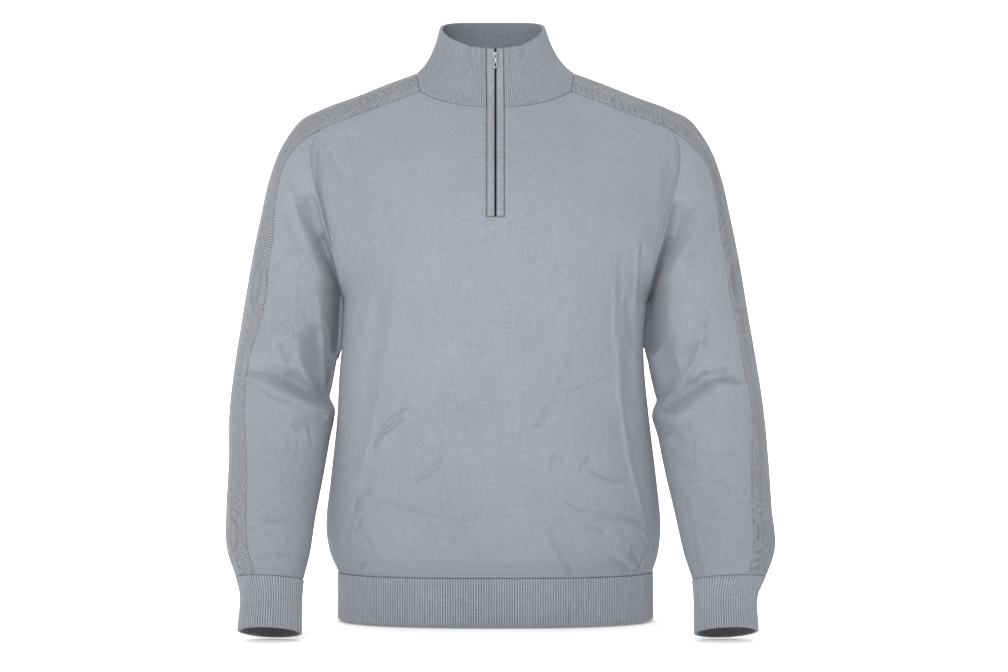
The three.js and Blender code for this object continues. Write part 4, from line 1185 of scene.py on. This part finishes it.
# %% Rib tree
rib_tree = new_tree(
    "raised ribs",
    [
        ("Relief", "NodeSocketFloat", 0.001),
        ("Roundness", "NodeSocketFloat", 0.7),
        ("Material", "NodeSocketMaterial", None),
    ],
)
entry = put(rib_tree, "NodeGroupInput")
turned = calc(rib_tree, "MULTIPLY", named(rib_tree, "rib"), math.pi)
wave = calc(rib_tree, "ABSOLUTE", calc(rib_tree, "SINE", turned))
crown = calc(rib_tree, "POWER", wave, entry.outputs["Roundness"])
height = calc(rib_tree, "MULTIPLY", crown, entry.outputs["Relief"])
stored = put(
    rib_tree,
    "GeometryNodeStoreNamedAttribute",
    {"Geometry": raise_out(rib_tree, entry, height), "Name": "crown", "Value": crown},
)
finish_tree(rib_tree, stored.outputs[0], entry)

# %% Diagonal tree
STRIP_WIDTH = 81
diagonal_tree = new_tree(
    "raised diagonals",
    [
        ("Relief", "NodeSocketFloat", 0.0008),
        ("Pitch", "NodeSocketFloat", 3.9),
        ("Column", "NodeSocketFloat", 13.5),
        ("Width", "NodeSocketFloat", STRIP_WIDTH),
        ("Material", "NodeSocketMaterial", None),
    ],
)
entry = put(diagonal_tree, "NodeGroupInput")
across = named(diagonal_tree, "across")
other_edge = calc(diagonal_tree, "SUBTRACT", entry.outputs["Width"], across)
from_edge = calc(diagonal_tree, "MINIMUM", across, other_edge)
zigzag = calc(diagonal_tree, "PINGPONG", from_edge, entry.outputs["Column"])
slope = calc(diagonal_tree, "SUBTRACT", named(diagonal_tree, "along"), zigzag)
phase = calc(diagonal_tree, "DIVIDE", slope, entry.outputs["Pitch"])
wave = calc(
    diagonal_tree,
    "ABSOLUTE",
    calc(diagonal_tree, "SINE", calc(diagonal_tree, "MULTIPLY", phase, math.pi)),
)
in_columns = calc(diagonal_tree, "DIVIDE", from_edge, entry.outputs["Column"])
border = calc(diagonal_tree, "PINGPONG", in_columns, 0.5)
beside_border = calc(diagonal_tree, "ADD", calc(diagonal_tree, "MULTIPLY", border, 5.0), 0.7)
groove = calc(diagonal_tree, "MINIMUM", beside_border, 1.0)
crown = calc(diagonal_tree, "MULTIPLY", calc(diagonal_tree, "POWER", wave, 0.8), groove)
edge_fade = calc(diagonal_tree, "MINIMUM", calc(diagonal_tree, "DIVIDE", from_edge, 5.0), 1.0)
relief = calc(diagonal_tree, "MULTIPLY", entry.outputs["Relief"], edge_fade)
height = calc(diagonal_tree, "MULTIPLY", crown, relief)
stored = put(
    diagonal_tree,
    "GeometryNodeStoreNamedAttribute",
    {"Geometry": raise_out(diagonal_tree, entry, height), "Name": "crown", "Value": crown},
)
finish_tree(diagonal_tree, stored.outputs[0], entry)

# %% [markdown]
# ## Finishes
# All of the yarn is one grey-blue wool, dyed after knitting. That leaves it softly mottled, so one
# shader group gives the mottling and another the V-shaped loops, and the materials share both.


# %% Shader helpers
def new_group(name, inputs, outputs):
    """A shader group with named inputs, each as (label, value), and named outputs."""
    group = bpy.data.node_groups.new(name, "ShaderNodeTree")
    for label, value in inputs:
        kind = "NodeSocketVector" if value is None else "NodeSocketFloat"
        socket = group.interface.new_socket(label, in_out="INPUT", socket_type=kind)
        if value is not None:
            socket.default_value = value
    for label in outputs:
        group.interface.new_socket(label, in_out="OUTPUT", socket_type="NodeSocketFloat")
    return group, put(group, "NodeGroupInput")


def noise(tree, place, scale, detail=3.0, roughness=0.5):
    made = put(
        tree,
        "ShaderNodeTexNoise",
        {"Vector": place, "Scale": scale, "Detail": detail, "Roughness": roughness},
    )
    return made.outputs["Fac"]


# %% Knit loops group
# Loops run up in columns, the wales. Each loop is a V, so a stitch leans to both sides of its wale.
loops, entry = new_group(
    "knit loops", [("Place", None), ("Wale", 1.9), ("Course", 1.4), ("Lean", 0.55)], ["Height", "GapShade"]
)
parts = put(loops, "ShaderNodeSeparateXYZ", {0: entry.outputs["Place"]})
wale = calc(loops, "DIVIDE", calc(loops, "MULTIPLY", parts.outputs["X"], 1000), entry.outputs["Wale"])
course = calc(loops, "DIVIDE", calc(loops, "MULTIPLY", parts.outputs["Y"], 1000), entry.outputs["Course"])
from_wale = calc(loops, "MULTIPLY", calc(loops, "PINGPONG", wale, 0.5), 2.0)
leaning = calc(loops, "ADD", course, calc(loops, "MULTIPLY", from_wale, entry.outputs["Lean"]))
leg = calc(loops, "ABSOLUTE", calc(loops, "SINE", calc(loops, "MULTIPLY", leaning, math.pi)))
round_leg = calc(loops, "POWER", leg, 0.6)
side_leg = calc(loops, "SINE", calc(loops, "MULTIPLY", from_wale, math.pi))
body = calc(loops, "MULTIPLY", round_leg, calc(loops, "ADD", calc(loops, "MULTIPLY", side_leg, 0.75), 0.25))
# Gap is the share between the loops, which the knit materials darken as painted shade.
gap = calc(loops, "SUBTRACT", 1.0, body)
put(loops, "NodeGroupOutput", {"Height": body, "GapShade": gap})

# %% Mottling group
# Large soft clouds come from the dye bath, specks from the fibres, and streaks from uneven yarn.
mottle, entry = new_group(
    "dye mottling",
    [("Place", None), ("Clouds", 9.0), ("Specks", 480.0)],
    ["Cloud", "Speck", "Fibre", "Streak"],
)
cloud = noise(mottle, entry.outputs["Place"], entry.outputs["Clouds"], 4.0, 0.6)
speck = noise(mottle, entry.outputs["Place"], entry.outputs["Specks"], 2.0, 0.6)
fibre = noise(mottle, entry.outputs["Place"], calc(mottle, "MULTIPLY", entry.outputs["Specks"], 5.0), 2.0)
parts = put(mottle, "ShaderNodeSeparateXYZ", {0: entry.outputs["Place"]})


def streaks(across, down):
    """Noise drawn out along one direction, for yarn that is thicker or paler for a while."""
    scaled = {"X": calc(mottle, "MULTIPLY", parts.outputs["X"], across), "Y": parts.outputs["Y"]}
    scaled["Z"] = calc(mottle, "MULTIPLY", parts.outputs["Z"], down)
    return noise(mottle, put(mottle, "ShaderNodeCombineXYZ", scaled).outputs[0], entry.outputs["Specks"], 1.0)


streak = calc(mottle, "MULTIPLY", calc(mottle, "ADD", streaks(0.09, 1.0), streaks(1.0, 0.09)), 0.5)
put(mottle, "NodeGroupOutput", {"Cloud": cloud, "Speck": speck, "Fibre": fibre, "Streak": streak})


# %% Yarn material
def yarn(name, colour, wale, course, depth, mottling=0.16, speckle=0.2, seam_shade=0.06, furrow_shade=0):
    """A matte wool knit in one colour, with its own loop size and depth of loops. The furrow argument
    sets how much painted shade darkens the cloth between its ribs or diagonals, and the seam argument
    how much painted shade darkens it near seams and edges."""
    made = bpy.data.materials.new(name)
    made.use_nodes = True
    tree = made.node_tree
    shader = tree.nodes["Principled BSDF"]
    place = put(tree, "ShaderNodeTexCoord")
    knit = put(tree, "ShaderNodeGroup", node_tree=loops)
    tree.links.new(place.outputs["UV"], knit.inputs["Place"])
    knit.inputs["Wale"].default_value = wale
    knit.inputs["Course"].default_value = course
    dye = put(tree, "ShaderNodeGroup", node_tree=mottle)
    tree.links.new(place.outputs["Object"], dye.inputs["Place"])
    seam = put(tree, "ShaderNodeAttribute", attribute_name="seam").outputs["Fac"]
    near = calc(tree, "SUBTRACT", 1.0, calc(tree, "MINIMUM", calc(tree, "DIVIDE", seam, 2.2), 1.0))
    clouds = calc(tree, "MULTIPLY", calc(tree, "SUBTRACT", dye.outputs["Cloud"], 0.5), mottling * 2)
    grain = calc(tree, "ADD", dye.outputs["Speck"], calc(tree, "MULTIPLY", dye.outputs["Streak"], 1.6))
    specks = calc(tree, "MULTIPLY", calc(tree, "SUBTRACT", grain, 1.3), speckle * 2)
    # Painted shade: the gaps between loops are drawn darker, as shade falls into them.
    painted_loop_shade = calc(tree, "MULTIPLY", knit.outputs["GapShade"], -0.22)
    # Painted shade: within 2.2 mm of a seam or edge the colour darkens, as shade lies in the groove.
    seams = calc(tree, "MULTIPLY", near, -seam_shade)
    value = calc(tree, "ADD", calc(tree, "ADD", clouds, specks), calc(tree, "ADD", painted_loop_shade, seams))
    if furrow_shade:
        # Painted shade: where the crown is low, between ribs or diagonals, the colour darkens.
        crown = put(tree, "ShaderNodeAttribute", attribute_name="crown").outputs["Fac"]
        furrow = calc(tree, "MULTIPLY", calc(tree, "SUBTRACT", crown, 0.75), furrow_shade)
        value = calc(tree, "ADD", value, furrow)
    tone = put(tree, "ShaderNodeHueSaturation", {"Color": (*colour, 1)})
    tree.links.new(calc(tree, "ADD", value, 1.08), tone.inputs["Value"])
    tree.links.new(tone.outputs[0], shader.inputs["Base Color"])
    fuzz = calc(tree, "MULTIPLY", dye.outputs["Fibre"], 0.35)
    surface = calc(tree, "ADD", knit.outputs["Height"], fuzz)
    bump = put(tree, "ShaderNodeBump", {"Strength": 0.6, "Distance": depth * MM, "Height": surface})
    tree.links.new(bump.outputs[0], shader.inputs["Normal"])
    shader.inputs["Roughness"].default_value = 0.93
    shader.inputs["Specular IOR Level"].default_value = 0.15
    shader.inputs["Sheen Weight"].default_value = 0.18
    shader.inputs["Sheen Roughness"].default_value = 0.55
    return made


BODY_COLOUR = (0.222, 0.237, 0.271)
knit_finish = yarn("grey-blue fine knit", BODY_COLOUR, 1.9, 1.35, 0.35, mottling=0.11, speckle=0.13)
strip_finish = yarn("grey-blue raised diagonal knit", (0.224, 0.235, 0.25), 1.9, 1.35, 0.3, furrow_shade=1.2)
rib_finish = yarn("grey-blue rib knit", (0.246, 0.256, 0.284), 1.6, 1.35, 0.3, furrow_shade=0.75)
collar_finish = yarn("grey-blue collar rib", (0.215, 0.226, 0.257), 1.6, 1.35, 0.3, furrow_shade=0.35)
# The bands get a strong painted shade along their edges and the zip line.
band_finish = yarn("grey-blue smooth band knit", (0.222, 0.232, 0.256), 1.5, 1.2, 0.25, seam_shade=0.4)
thread_finish = yarn("grey-blue linking yarn", (0.235, 0.246, 0.275), 0.8, 0.8, 0.1, seam_shade=0)
# The fashioning marks are raised loops, and their darker colour is painted shade of the dips beside them.
mark_shade_finish = yarn("grey-blue yarn darkened with mark shade", (0.16, 0.168, 0.19), 0.8, 0.8, 0.1, seam_shade=0)


# %% Metal and tape
def metal(name, colour, roughness):
    made = bpy.data.materials.new(name)
    made.use_nodes = True
    tree = made.node_tree
    shader = tree.nodes["Principled BSDF"]
    place = put(tree, "ShaderNodeTexCoord")
    worn = noise(tree, place.outputs["Object"], 900.0, 3.0)
    shader.inputs["Base Color"].default_value = (*colour, 1)
    shader.inputs["Metallic"].default_value = 1.0
    dulled = calc(tree, "ADD", calc(tree, "MULTIPLY", worn, 0.18), roughness)
    tree.links.new(dulled, shader.inputs["Roughness"])
    bump = put(tree, "ShaderNodeBump", {"Strength": 0.1, "Distance": 0.00005, "Height": worn})
    tree.links.new(bump.outputs[0], shader.inputs["Normal"])
    return made


slider_finish = metal("satin zip metal", (0.2, 0.202, 0.206), 0.4)
# The teeth and tapes are dark, and their colour is darkened further as painted shade of the narrow gap
# between the bands.
teeth_gap_shade_finish = metal("dark zip teeth with painted gap shade", (0.02, 0.021, 0.023), 0.5)
tape_gap_shade_finish = yarn("dark woven zip tape with painted gap shade", (0.012, 0.0125, 0.014), 0.9, 0.45, 0.12, seam_shade=0)

# %% [markdown]
# ## Zip
# Two smooth bands meet over the zip and leave a narrow line of teeth. Each band is a folded strip of
# knit sewn into the slot. Behind them lie the two tapes with the teeth clamped to their edges.

# %% Zip lines
zip_levels = 1 + spread(ZIP_STEPS_UP / ARMHOLE_STEPS, 1, 72)


def zip_edges(side):
    """The middle line and the slot's edge, from the zip's foot to the collar's top."""
    rows = [body_row(FRONT, np.array([0, SLOT_SHARE]), level, side) for level in zip_levels[:-1]]
    base = neckline(NECK_FRONT, np.array([0, NECK_AT_SLOT]), side)
    lines = np.concatenate([np.array(rows), collar_points(base, collar_up)])
    return lines[:, 0], lines[:, 1]


def between_edges(side, places):
    """Grid of points at distances from the zip's middle line."""
    middle, edge = zip_edges(side)
    share = np.asarray(places)[None, :, None] / SLOT
    return mix(middle[:, None], edge[:, None], share)


centre_line = zip_edges(1)[0]
steps = np.gradient(centre_line, axis=0)
zip_out = np.stack([0 * steps[:, 0], -steps[:, 2], steps[:, 1]], axis=1)
zip_out /= np.linalg.norm(zip_out, axis=1, keepdims=True)

# %% Bands and tapes
bands, tapes = {}, {}
band_places = joined(spread(BAND_EDGE, 3, 4), spread(3, 9, 8), spread(9, SLOT - 0.2, 4))
for name, side in (("left", 1), ("right", -1)):
    grid = between_edges(side, band_places)
    bands[name] = knitted(f"band_knit_{name}", grid, (4, 4), ALL, BODY_HEART)
    grid = between_edges(side, spread(2.2, SLOT + 1, 4)) - zip_out[:, None] * (KNIT + SEAM)
    tapes[name] = knitted(f"zip_tape_{name}_woven", grid, (4, 4), ALL, BODY_HEART, wall=0.8)

# %% [markdown]
# ### Teeth, slider and pull tab
# Metal teeth are clamped to both tapes at one pitch, with one side half a pitch higher. A node tree
# sets a tooth at each step along the zip's line. The slider and its tab keep their solids' shapes
# with softened edges.


# %% Paths of points
def joined_paths(name, lines):
    """One object from lines of (points, ways out of the cloth)."""
    mesh = bpy.data.meshes.new(name)
    edges, start = [], 0
    for points, _ in lines:
        edges += [(start + k, start + k + 1) for k in range(len(points) - 1)]
        start += len(points)
    mesh.from_pydata((np.concatenate([p for p, _ in lines]) * MM).tolist(), edges, [])
    attribute = mesh.attributes.new("out", "FLOAT_VECTOR", "POINT")
    ways = np.concatenate([np.asarray(w, np.float32) for _, w in lines])
    attribute.data.foreach_set("vector", ways.ravel())
    made = bpy.data.objects.new(name, mesh)
    scene.collection.objects.link(made)
    return made


# %% Tree that repeats a shape along paths
def along_path_tree(name, segments, rings):
    """A tree that sets a rounded shape of some length, width and height at each pitch of its paths."""
    tree = new_tree(
        name,
        [
            ("Pitch", "NodeSocketFloat", 0.002),
            ("Length", "NodeSocketFloat", 0.002),
            ("Width", "NodeSocketFloat", 0.0006),
            ("Height", "NodeSocketFloat", 0.0005),
            ("Lean", "NodeSocketFloat", 0.0),
            ("Stagger", "NodeSocketFloat", 0.0),
            ("Material", "NodeSocketMaterial", None),
        ],
    )
    entry = put(tree, "NodeGroupInput")
    curve = put(tree, "GeometryNodeMeshToCurve", {"Mesh": entry.outputs["Geometry"]})
    steps = {"Curve": curve.outputs[0], "Length": entry.outputs["Pitch"]}
    run = put(tree, "GeometryNodeResampleCurve", steps, mode="LENGTH")
    shape = put(tree, "GeometryNodeMeshUVSphere", {"Segments": segments, "Rings": rings, "Radius": 0.5})
    tangent = put(tree, "GeometryNodeInputTangent")
    ahead = put(
        tree,
        "FunctionNodeAlignRotationToVector",
        {"Vector": tangent.outputs[0]},
        axis="X",
    )
    up = put(
        tree,
        "FunctionNodeAlignRotationToVector",
        {"Rotation": ahead.outputs[0], "Vector": named(tree, "out", "FLOAT_VECTOR")},
        axis="Z",
        pivot_axis="X",
    )
    lean = put(tree, "ShaderNodeCombineXYZ", {"Z": entry.outputs["Lean"]})
    turn = put(tree, "FunctionNodeEulerToRotation", {0: lean.outputs[0]})
    both = put(
        tree,
        "FunctionNodeRotateRotation",
        {"Rotation": up.outputs[0], "Rotate By": turn.outputs[0]},
        rotation_space="LOCAL",
    )
    size = put(
        tree,
        "ShaderNodeCombineXYZ",
        {
            "X": entry.outputs["Length"],
            "Y": entry.outputs["Width"],
            "Z": entry.outputs["Height"],
        },
    )
    number = put(tree, "GeometryNodeInputIndex")
    parity = calc(tree, "MODULO", number.outputs[0], 2.0)
    to_and_fro = calc(tree, "SUBTRACT", calc(tree, "MULTIPLY", parity, 2.0), 1.0)
    sideways = calc(tree, "MULTIPLY", to_and_fro, entry.outputs["Stagger"])
    offset = put(tree, "ShaderNodeCombineXYZ", {"Y": sideways})
    set_down = put(
        tree,
        "GeometryNodeInstanceOnPoints",
        {
            "Points": run.outputs[0],
            "Instance": shape.outputs["Mesh"],
            "Rotation": both.outputs[0],
            "Scale": size.outputs[0],
        },
    )
    moved = put(
        tree,
        "GeometryNodeTranslateInstances",
        {"Instances": set_down.outputs[0], "Translation": offset.outputs[0]},
    )
    smooth_faces = put(tree, "GeometryNodeSetShadeSmooth", {"Geometry": moved.outputs[0]})
    finish_tree(tree, smooth_faces.outputs[0], entry)
    return tree


stitch_tree = along_path_tree("stitches along a seam", 6, 4)
tooth_tree = along_path_tree("teeth along the zip", 8, 4)

# %% Teeth
TOOTH_PITCH = 0.9  # both sides together
behind_bands = centre_line - zip_out * (KNIT + SEAM - 0.3)
teeth = joined_paths("zip_teeth", [(behind_bands, zip_out)])
apply_tree(
    teeth,
    tooth_tree,
    Pitch=TOOTH_PITCH * MM,
    Length=0.0012,
    Width=0.003,
    Height=0.0016,
    Stagger=0.0007,
    Material=teeth_gap_shade_finish,
)
print("teeth:", len(teeth.data.polygons), "faces")


# %% Slider and pull tab
def softened(name, node, bevel, finish):
    """A copy of a node's solid with its edges rounded off."""
    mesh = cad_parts[node].data.copy()
    mesh.name = name
    made = bpy.data.objects.new(name, mesh)
    made.matrix_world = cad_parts[node].matrix_world
    scene.collection.objects.link(made)
    mesh.transform(made.matrix_world)
    made.matrix_world.identity()
    work = bmesh.new()
    work.from_mesh(mesh)
    bmesh.ops.remove_doubles(work, verts=work.verts, dist=1e-6)
    bmesh.ops.recalc_face_normals(work, faces=work.faces)
    bmesh.ops.dissolve_limit(work, angle_limit=math.radians(3), verts=work.verts, edges=work.edges)
    work.to_mesh(mesh)
    work.free()
    rounded = made.modifiers.new("softened edges", "BEVEL")
    rounded.width = bevel * MM
    rounded.segments = 3
    rounded.limit_method = "ANGLE"
    rounded.angle_limit = math.radians(32)
    bpy.context.view_layer.update()
    graph = bpy.context.evaluated_depsgraph_get()
    mesh = bpy.data.meshes.new_from_object(made.evaluated_get(graph), depsgraph=graph)
    made.modifiers.remove(rounded)
    made.data = mesh
    mesh.materials.clear()
    mesh.materials.append(finish)
    mesh.shade_smooth()
    mesh.set_sharp_from_angle(angle=math.radians(40))
    print(f"{name}: {len(mesh.polygons)} faces")
    return made


slider = softened("slider", "zip_slider", 0.22, slider_finish)
pull = softened("pull_tab", "zip_pull", 0.2, slider_finish)

# %% [markdown]
# ## Paint the knit, then raise ribs and diagonals
# Each knitted piece gets its finish here, and the trees run once, so that what stays is a plain mesh.

# %% Finish every knitted piece
for piece in (front, back, *sleeves.values()):
    piece.data.materials.append(knit_finish)
for piece in bands.values():
    piece.data.materials.append(band_finish)
for piece in tapes.values():
    piece.data.materials.append(tape_gap_shade_finish)
RELIEF = 1.3 * MM  # height of a rib or a diagonal
for piece in strips.values():
    apply_tree(piece, diagonal_tree, Relief=RELIEF, Material=strip_finish)
for piece in (*hems.values(), *cuffs.values(), collar):
    finish = collar_finish if piece is collar else rib_finish
    apply_tree(piece, rib_tree, Relief=RELIEF, Material=finish)

# %% [markdown]
# ## Seams
# The pieces are linked loop by loop. A row of small stitches lies in each furrow between a strip
# and its neighbours, and beside the armholes run the fashioning marks, where loops were moved
# inwards to narrow the panel.


# %% Lines of stitches
def grid_line(piece, row=None, column=None, height=0.0):
    """A line along a piece's grid, a little outside its surface."""
    made = made_pieces[piece]
    where = (row, slice(None)) if row is not None else (slice(None), column)
    return made["grid"][where] + made["normal"][where] * height, made["normal"][where]


seam_lines = []
for name in ("left", "right"):
    for column in (0, -1):
        seam_lines.append(grid_line(f"strip_knit_{name}", column=column, height=-0.3))
seams = joined_paths("seam_linking", seam_lines)
apply_tree(
    seams,
    stitch_tree,
    Pitch=0.0016,
    Length=0.0014,
    Width=0.0019,
    Height=0.0008,
    Lean=0.5,
    Material=thread_finish,
)
print("linking stitches:", len(seams.data.polygons), "faces")

MARKS_IN = 6  # columns of the panel's grid inside the armhole seam
first_mark, last_mark = BODY_ROWS + ARMHOLE_ROWS // 3, BODY_ROWS + ARMHOLE_ROWS - 12
mark_lines = []
for column in (MARKS_IN, -1 - MARKS_IN):
    points, outward = grid_line("front_panel", column=column, height=-0.25)
    mark_lines.append((points[first_mark:last_mark], outward[first_mark:last_mark]))
marks = joined_paths("fashioning_marks", mark_lines)
apply_tree(
    marks,
    stitch_tree,
    Pitch=0.0055,
    Length=0.0036,
    Width=0.0011,
    Height=0.0012,
    Lean=0.6,
    Material=mark_shade_finish,
)
print("fashioning marks:", len(marks.data.polygons), "faces")

# %% [markdown]
# ## Hand the pieces over
# Each piece rides the body that its node belongs to and stands for that node, whose solid is hidden.


def declare(piece, node, held=None):
    """Ties a piece to the body of its node and hides the node's solid."""
    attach(piece, "pull_tab" if node == "zip_pull" else "garment")
    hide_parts(node)
    if held is None:
        return
    made = made_pieces[piece.name]
    grid = made["grid"]
    if made["closed"]:
        grid = np.concatenate([grid, grid[:, :1]], axis=1)


declare(front, "front", "hung")
declare(back, "back", "hung")
declare(collar, "collar_rib", "gathered")
for name in ("front", "back"):
    declare(hems[name], f"hem_rib_{name}", "hung")
for name in ("left", "right"):
    declare(sleeves[name], f"sleeve_{name}", "hung")
    declare(strips[name], f"shoulder_strip_{name}", "hung")
    declare(cuffs[name], f"cuff_rib_{name}", "hung")
    declare(bands[name], f"zip_band_{name}", "hung")
    declare(tapes[name], f"zip_tape_{name}", "hung")
declare(teeth, "zip_chain")
declare(slider, "zip_slider")
declare(pull, "zip_pull")
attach(seams, "garment")
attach(marks, "garment")

# %% [markdown]
# ## Studio
# The picture was taken on seamless white paper under large soft lights, so the shadows are faint and
# lie close to the garment.

# %% Floor and backdrop
FLOOR, UNDER_HEM = -708, -693.5
CURVE_START, CURVE_RADIUS = 1200, 900


def paper_height(x, y):
    """The paper lies flat, swells softly under the hem, and curves up far behind the garment."""
    swell = smooth((246 - np.abs(x)) / 46) * smooth((520 - np.abs(y)) / 260)
    back = np.clip((y - CURVE_START) / CURVE_RADIUS, 0, 1)
    over = np.maximum(y - CURVE_START - CURVE_RADIUS, 0) * 40
    rise = CURVE_RADIUS * (1 - np.sqrt(1 - back**2)) + over
    return FLOOR + (UNDER_HEM - FLOOR) * swell + rise


floor_x = np.concatenate([[-5000, -1500], spread(-260, 260, 52), [1500, 5000]])
rising_y = CURVE_START + CURVE_RADIUS * np.sin(spread(0.1, 1.57, 12))
floor_y = np.concatenate([[-6000, -1500], spread(-540, 540, 36), [CURVE_START], rising_y, [2180]])
xs, ys = np.meshgrid(floor_x, floor_y)
floor_grid = points_from(xs, ys, paper_height(xs, ys))
floor_mesh = bpy.data.meshes.new("paper")
wide = len(floor_x)
corners = [(r * wide + c, r * wide + c + 1) for r in range(len(floor_y) - 1) for c in range(wide - 1)]
floor_faces = [(a, b, b + wide, a + wide) for a, b in corners]
floor_mesh.from_pydata((floor_grid.reshape(-1, 3) * MM).tolist(), [], floor_faces)
floor_mesh.shade_smooth()
floor = bpy.data.objects.new("paper", floor_mesh)
scene.collection.objects.link(floor)
paper = bpy.data.materials.new("white paper")
paper.use_nodes = True
paper_shader = paper.node_tree.nodes["Principled BSDF"]
paper_shader.inputs["Base Color"].default_value = (0.93, 0.93, 0.93, 1)
paper_shader.inputs["Roughness"].default_value = 0.9
paper_shader.inputs["Specular IOR Level"].default_value = 0.0
paper_shader.inputs["Emission Color"].default_value = (1, 1, 1, 1)
# The paper glows as painted light: evenly white away from the garment and weaker close to it, so that it
# takes its shadow there.
paper_nodes = paper.node_tree
at_paper = put(paper_nodes, "ShaderNodeTexCoord").outputs["Object"]
flattened = put(paper_nodes, "ShaderNodeVectorMath", {0: at_paper, 1: (0.6, 1, 0)}, operation="MULTIPLY")
from_garment = put(paper_nodes, "ShaderNodeVectorMath", {0: flattened.outputs[0]}, operation="LENGTH")
glow_range = {"From Min": 0.15, "From Max": 0.6, "To Min": 0.2, "To Max": 1.0}
glow = put(paper_nodes, "ShaderNodeMapRange", {"Value": from_garment.outputs["Value"], **glow_range})
paper_nodes.links.new(glow.outputs[0], paper_shader.inputs["Emission Strength"])
# From behind, the paper is clear, so the back of the garment can be looked at too.
behind = put(paper_nodes, "ShaderNodeNewGeometry").outputs["Backfacing"]
clear = put(paper_nodes, "ShaderNodeBsdfTransparent").outputs[0]
one_sided = put(paper_nodes, "ShaderNodeMixShader", {0: behind, 1: paper_shader.outputs[0], 2: clear})
paper_nodes.links.new(one_sided.outputs[0], paper_nodes.nodes["Material Output"].inputs["Surface"])
floor_mesh.materials.append(paper)


# %% Lights
def soft_light(name, place, target, size, power):
    data = bpy.data.lights.new(name, "AREA")
    data.shape = "RECTANGLE"
    data.size, data.size_y = size
    data.energy = power
    made = bpy.data.objects.new(name, data)
    scene.collection.objects.link(made)
    made.location = place
    made.visible_camera = False
    way = Vector(target) - Vector(place)
    made.rotation_euler = way.to_track_quat("-Z", "Y").to_euler()
    return made


soft_light("front softbox", (-0.5, -3.0, 0.9), (0, 0, -0.4), (1.7, 1.3), 80)
soft_light("top softbox", (0, 0.2, 2.3), (0, 0, -0.3), (2.6, 2.0), 40)
world = bpy.data.worlds.new("studio")
scene.world = world
world.use_nodes = True
world.node_tree.nodes["Background"].inputs["Color"].default_value = (1, 1, 1, 1)
world.node_tree.nodes["Background"].inputs["Strength"].default_value = 0.3
scene.view_settings.view_transform = "Standard"

# %% [markdown]
# ## Bring the scene up to date

# %% Update
bpy.context.view_layer.update()
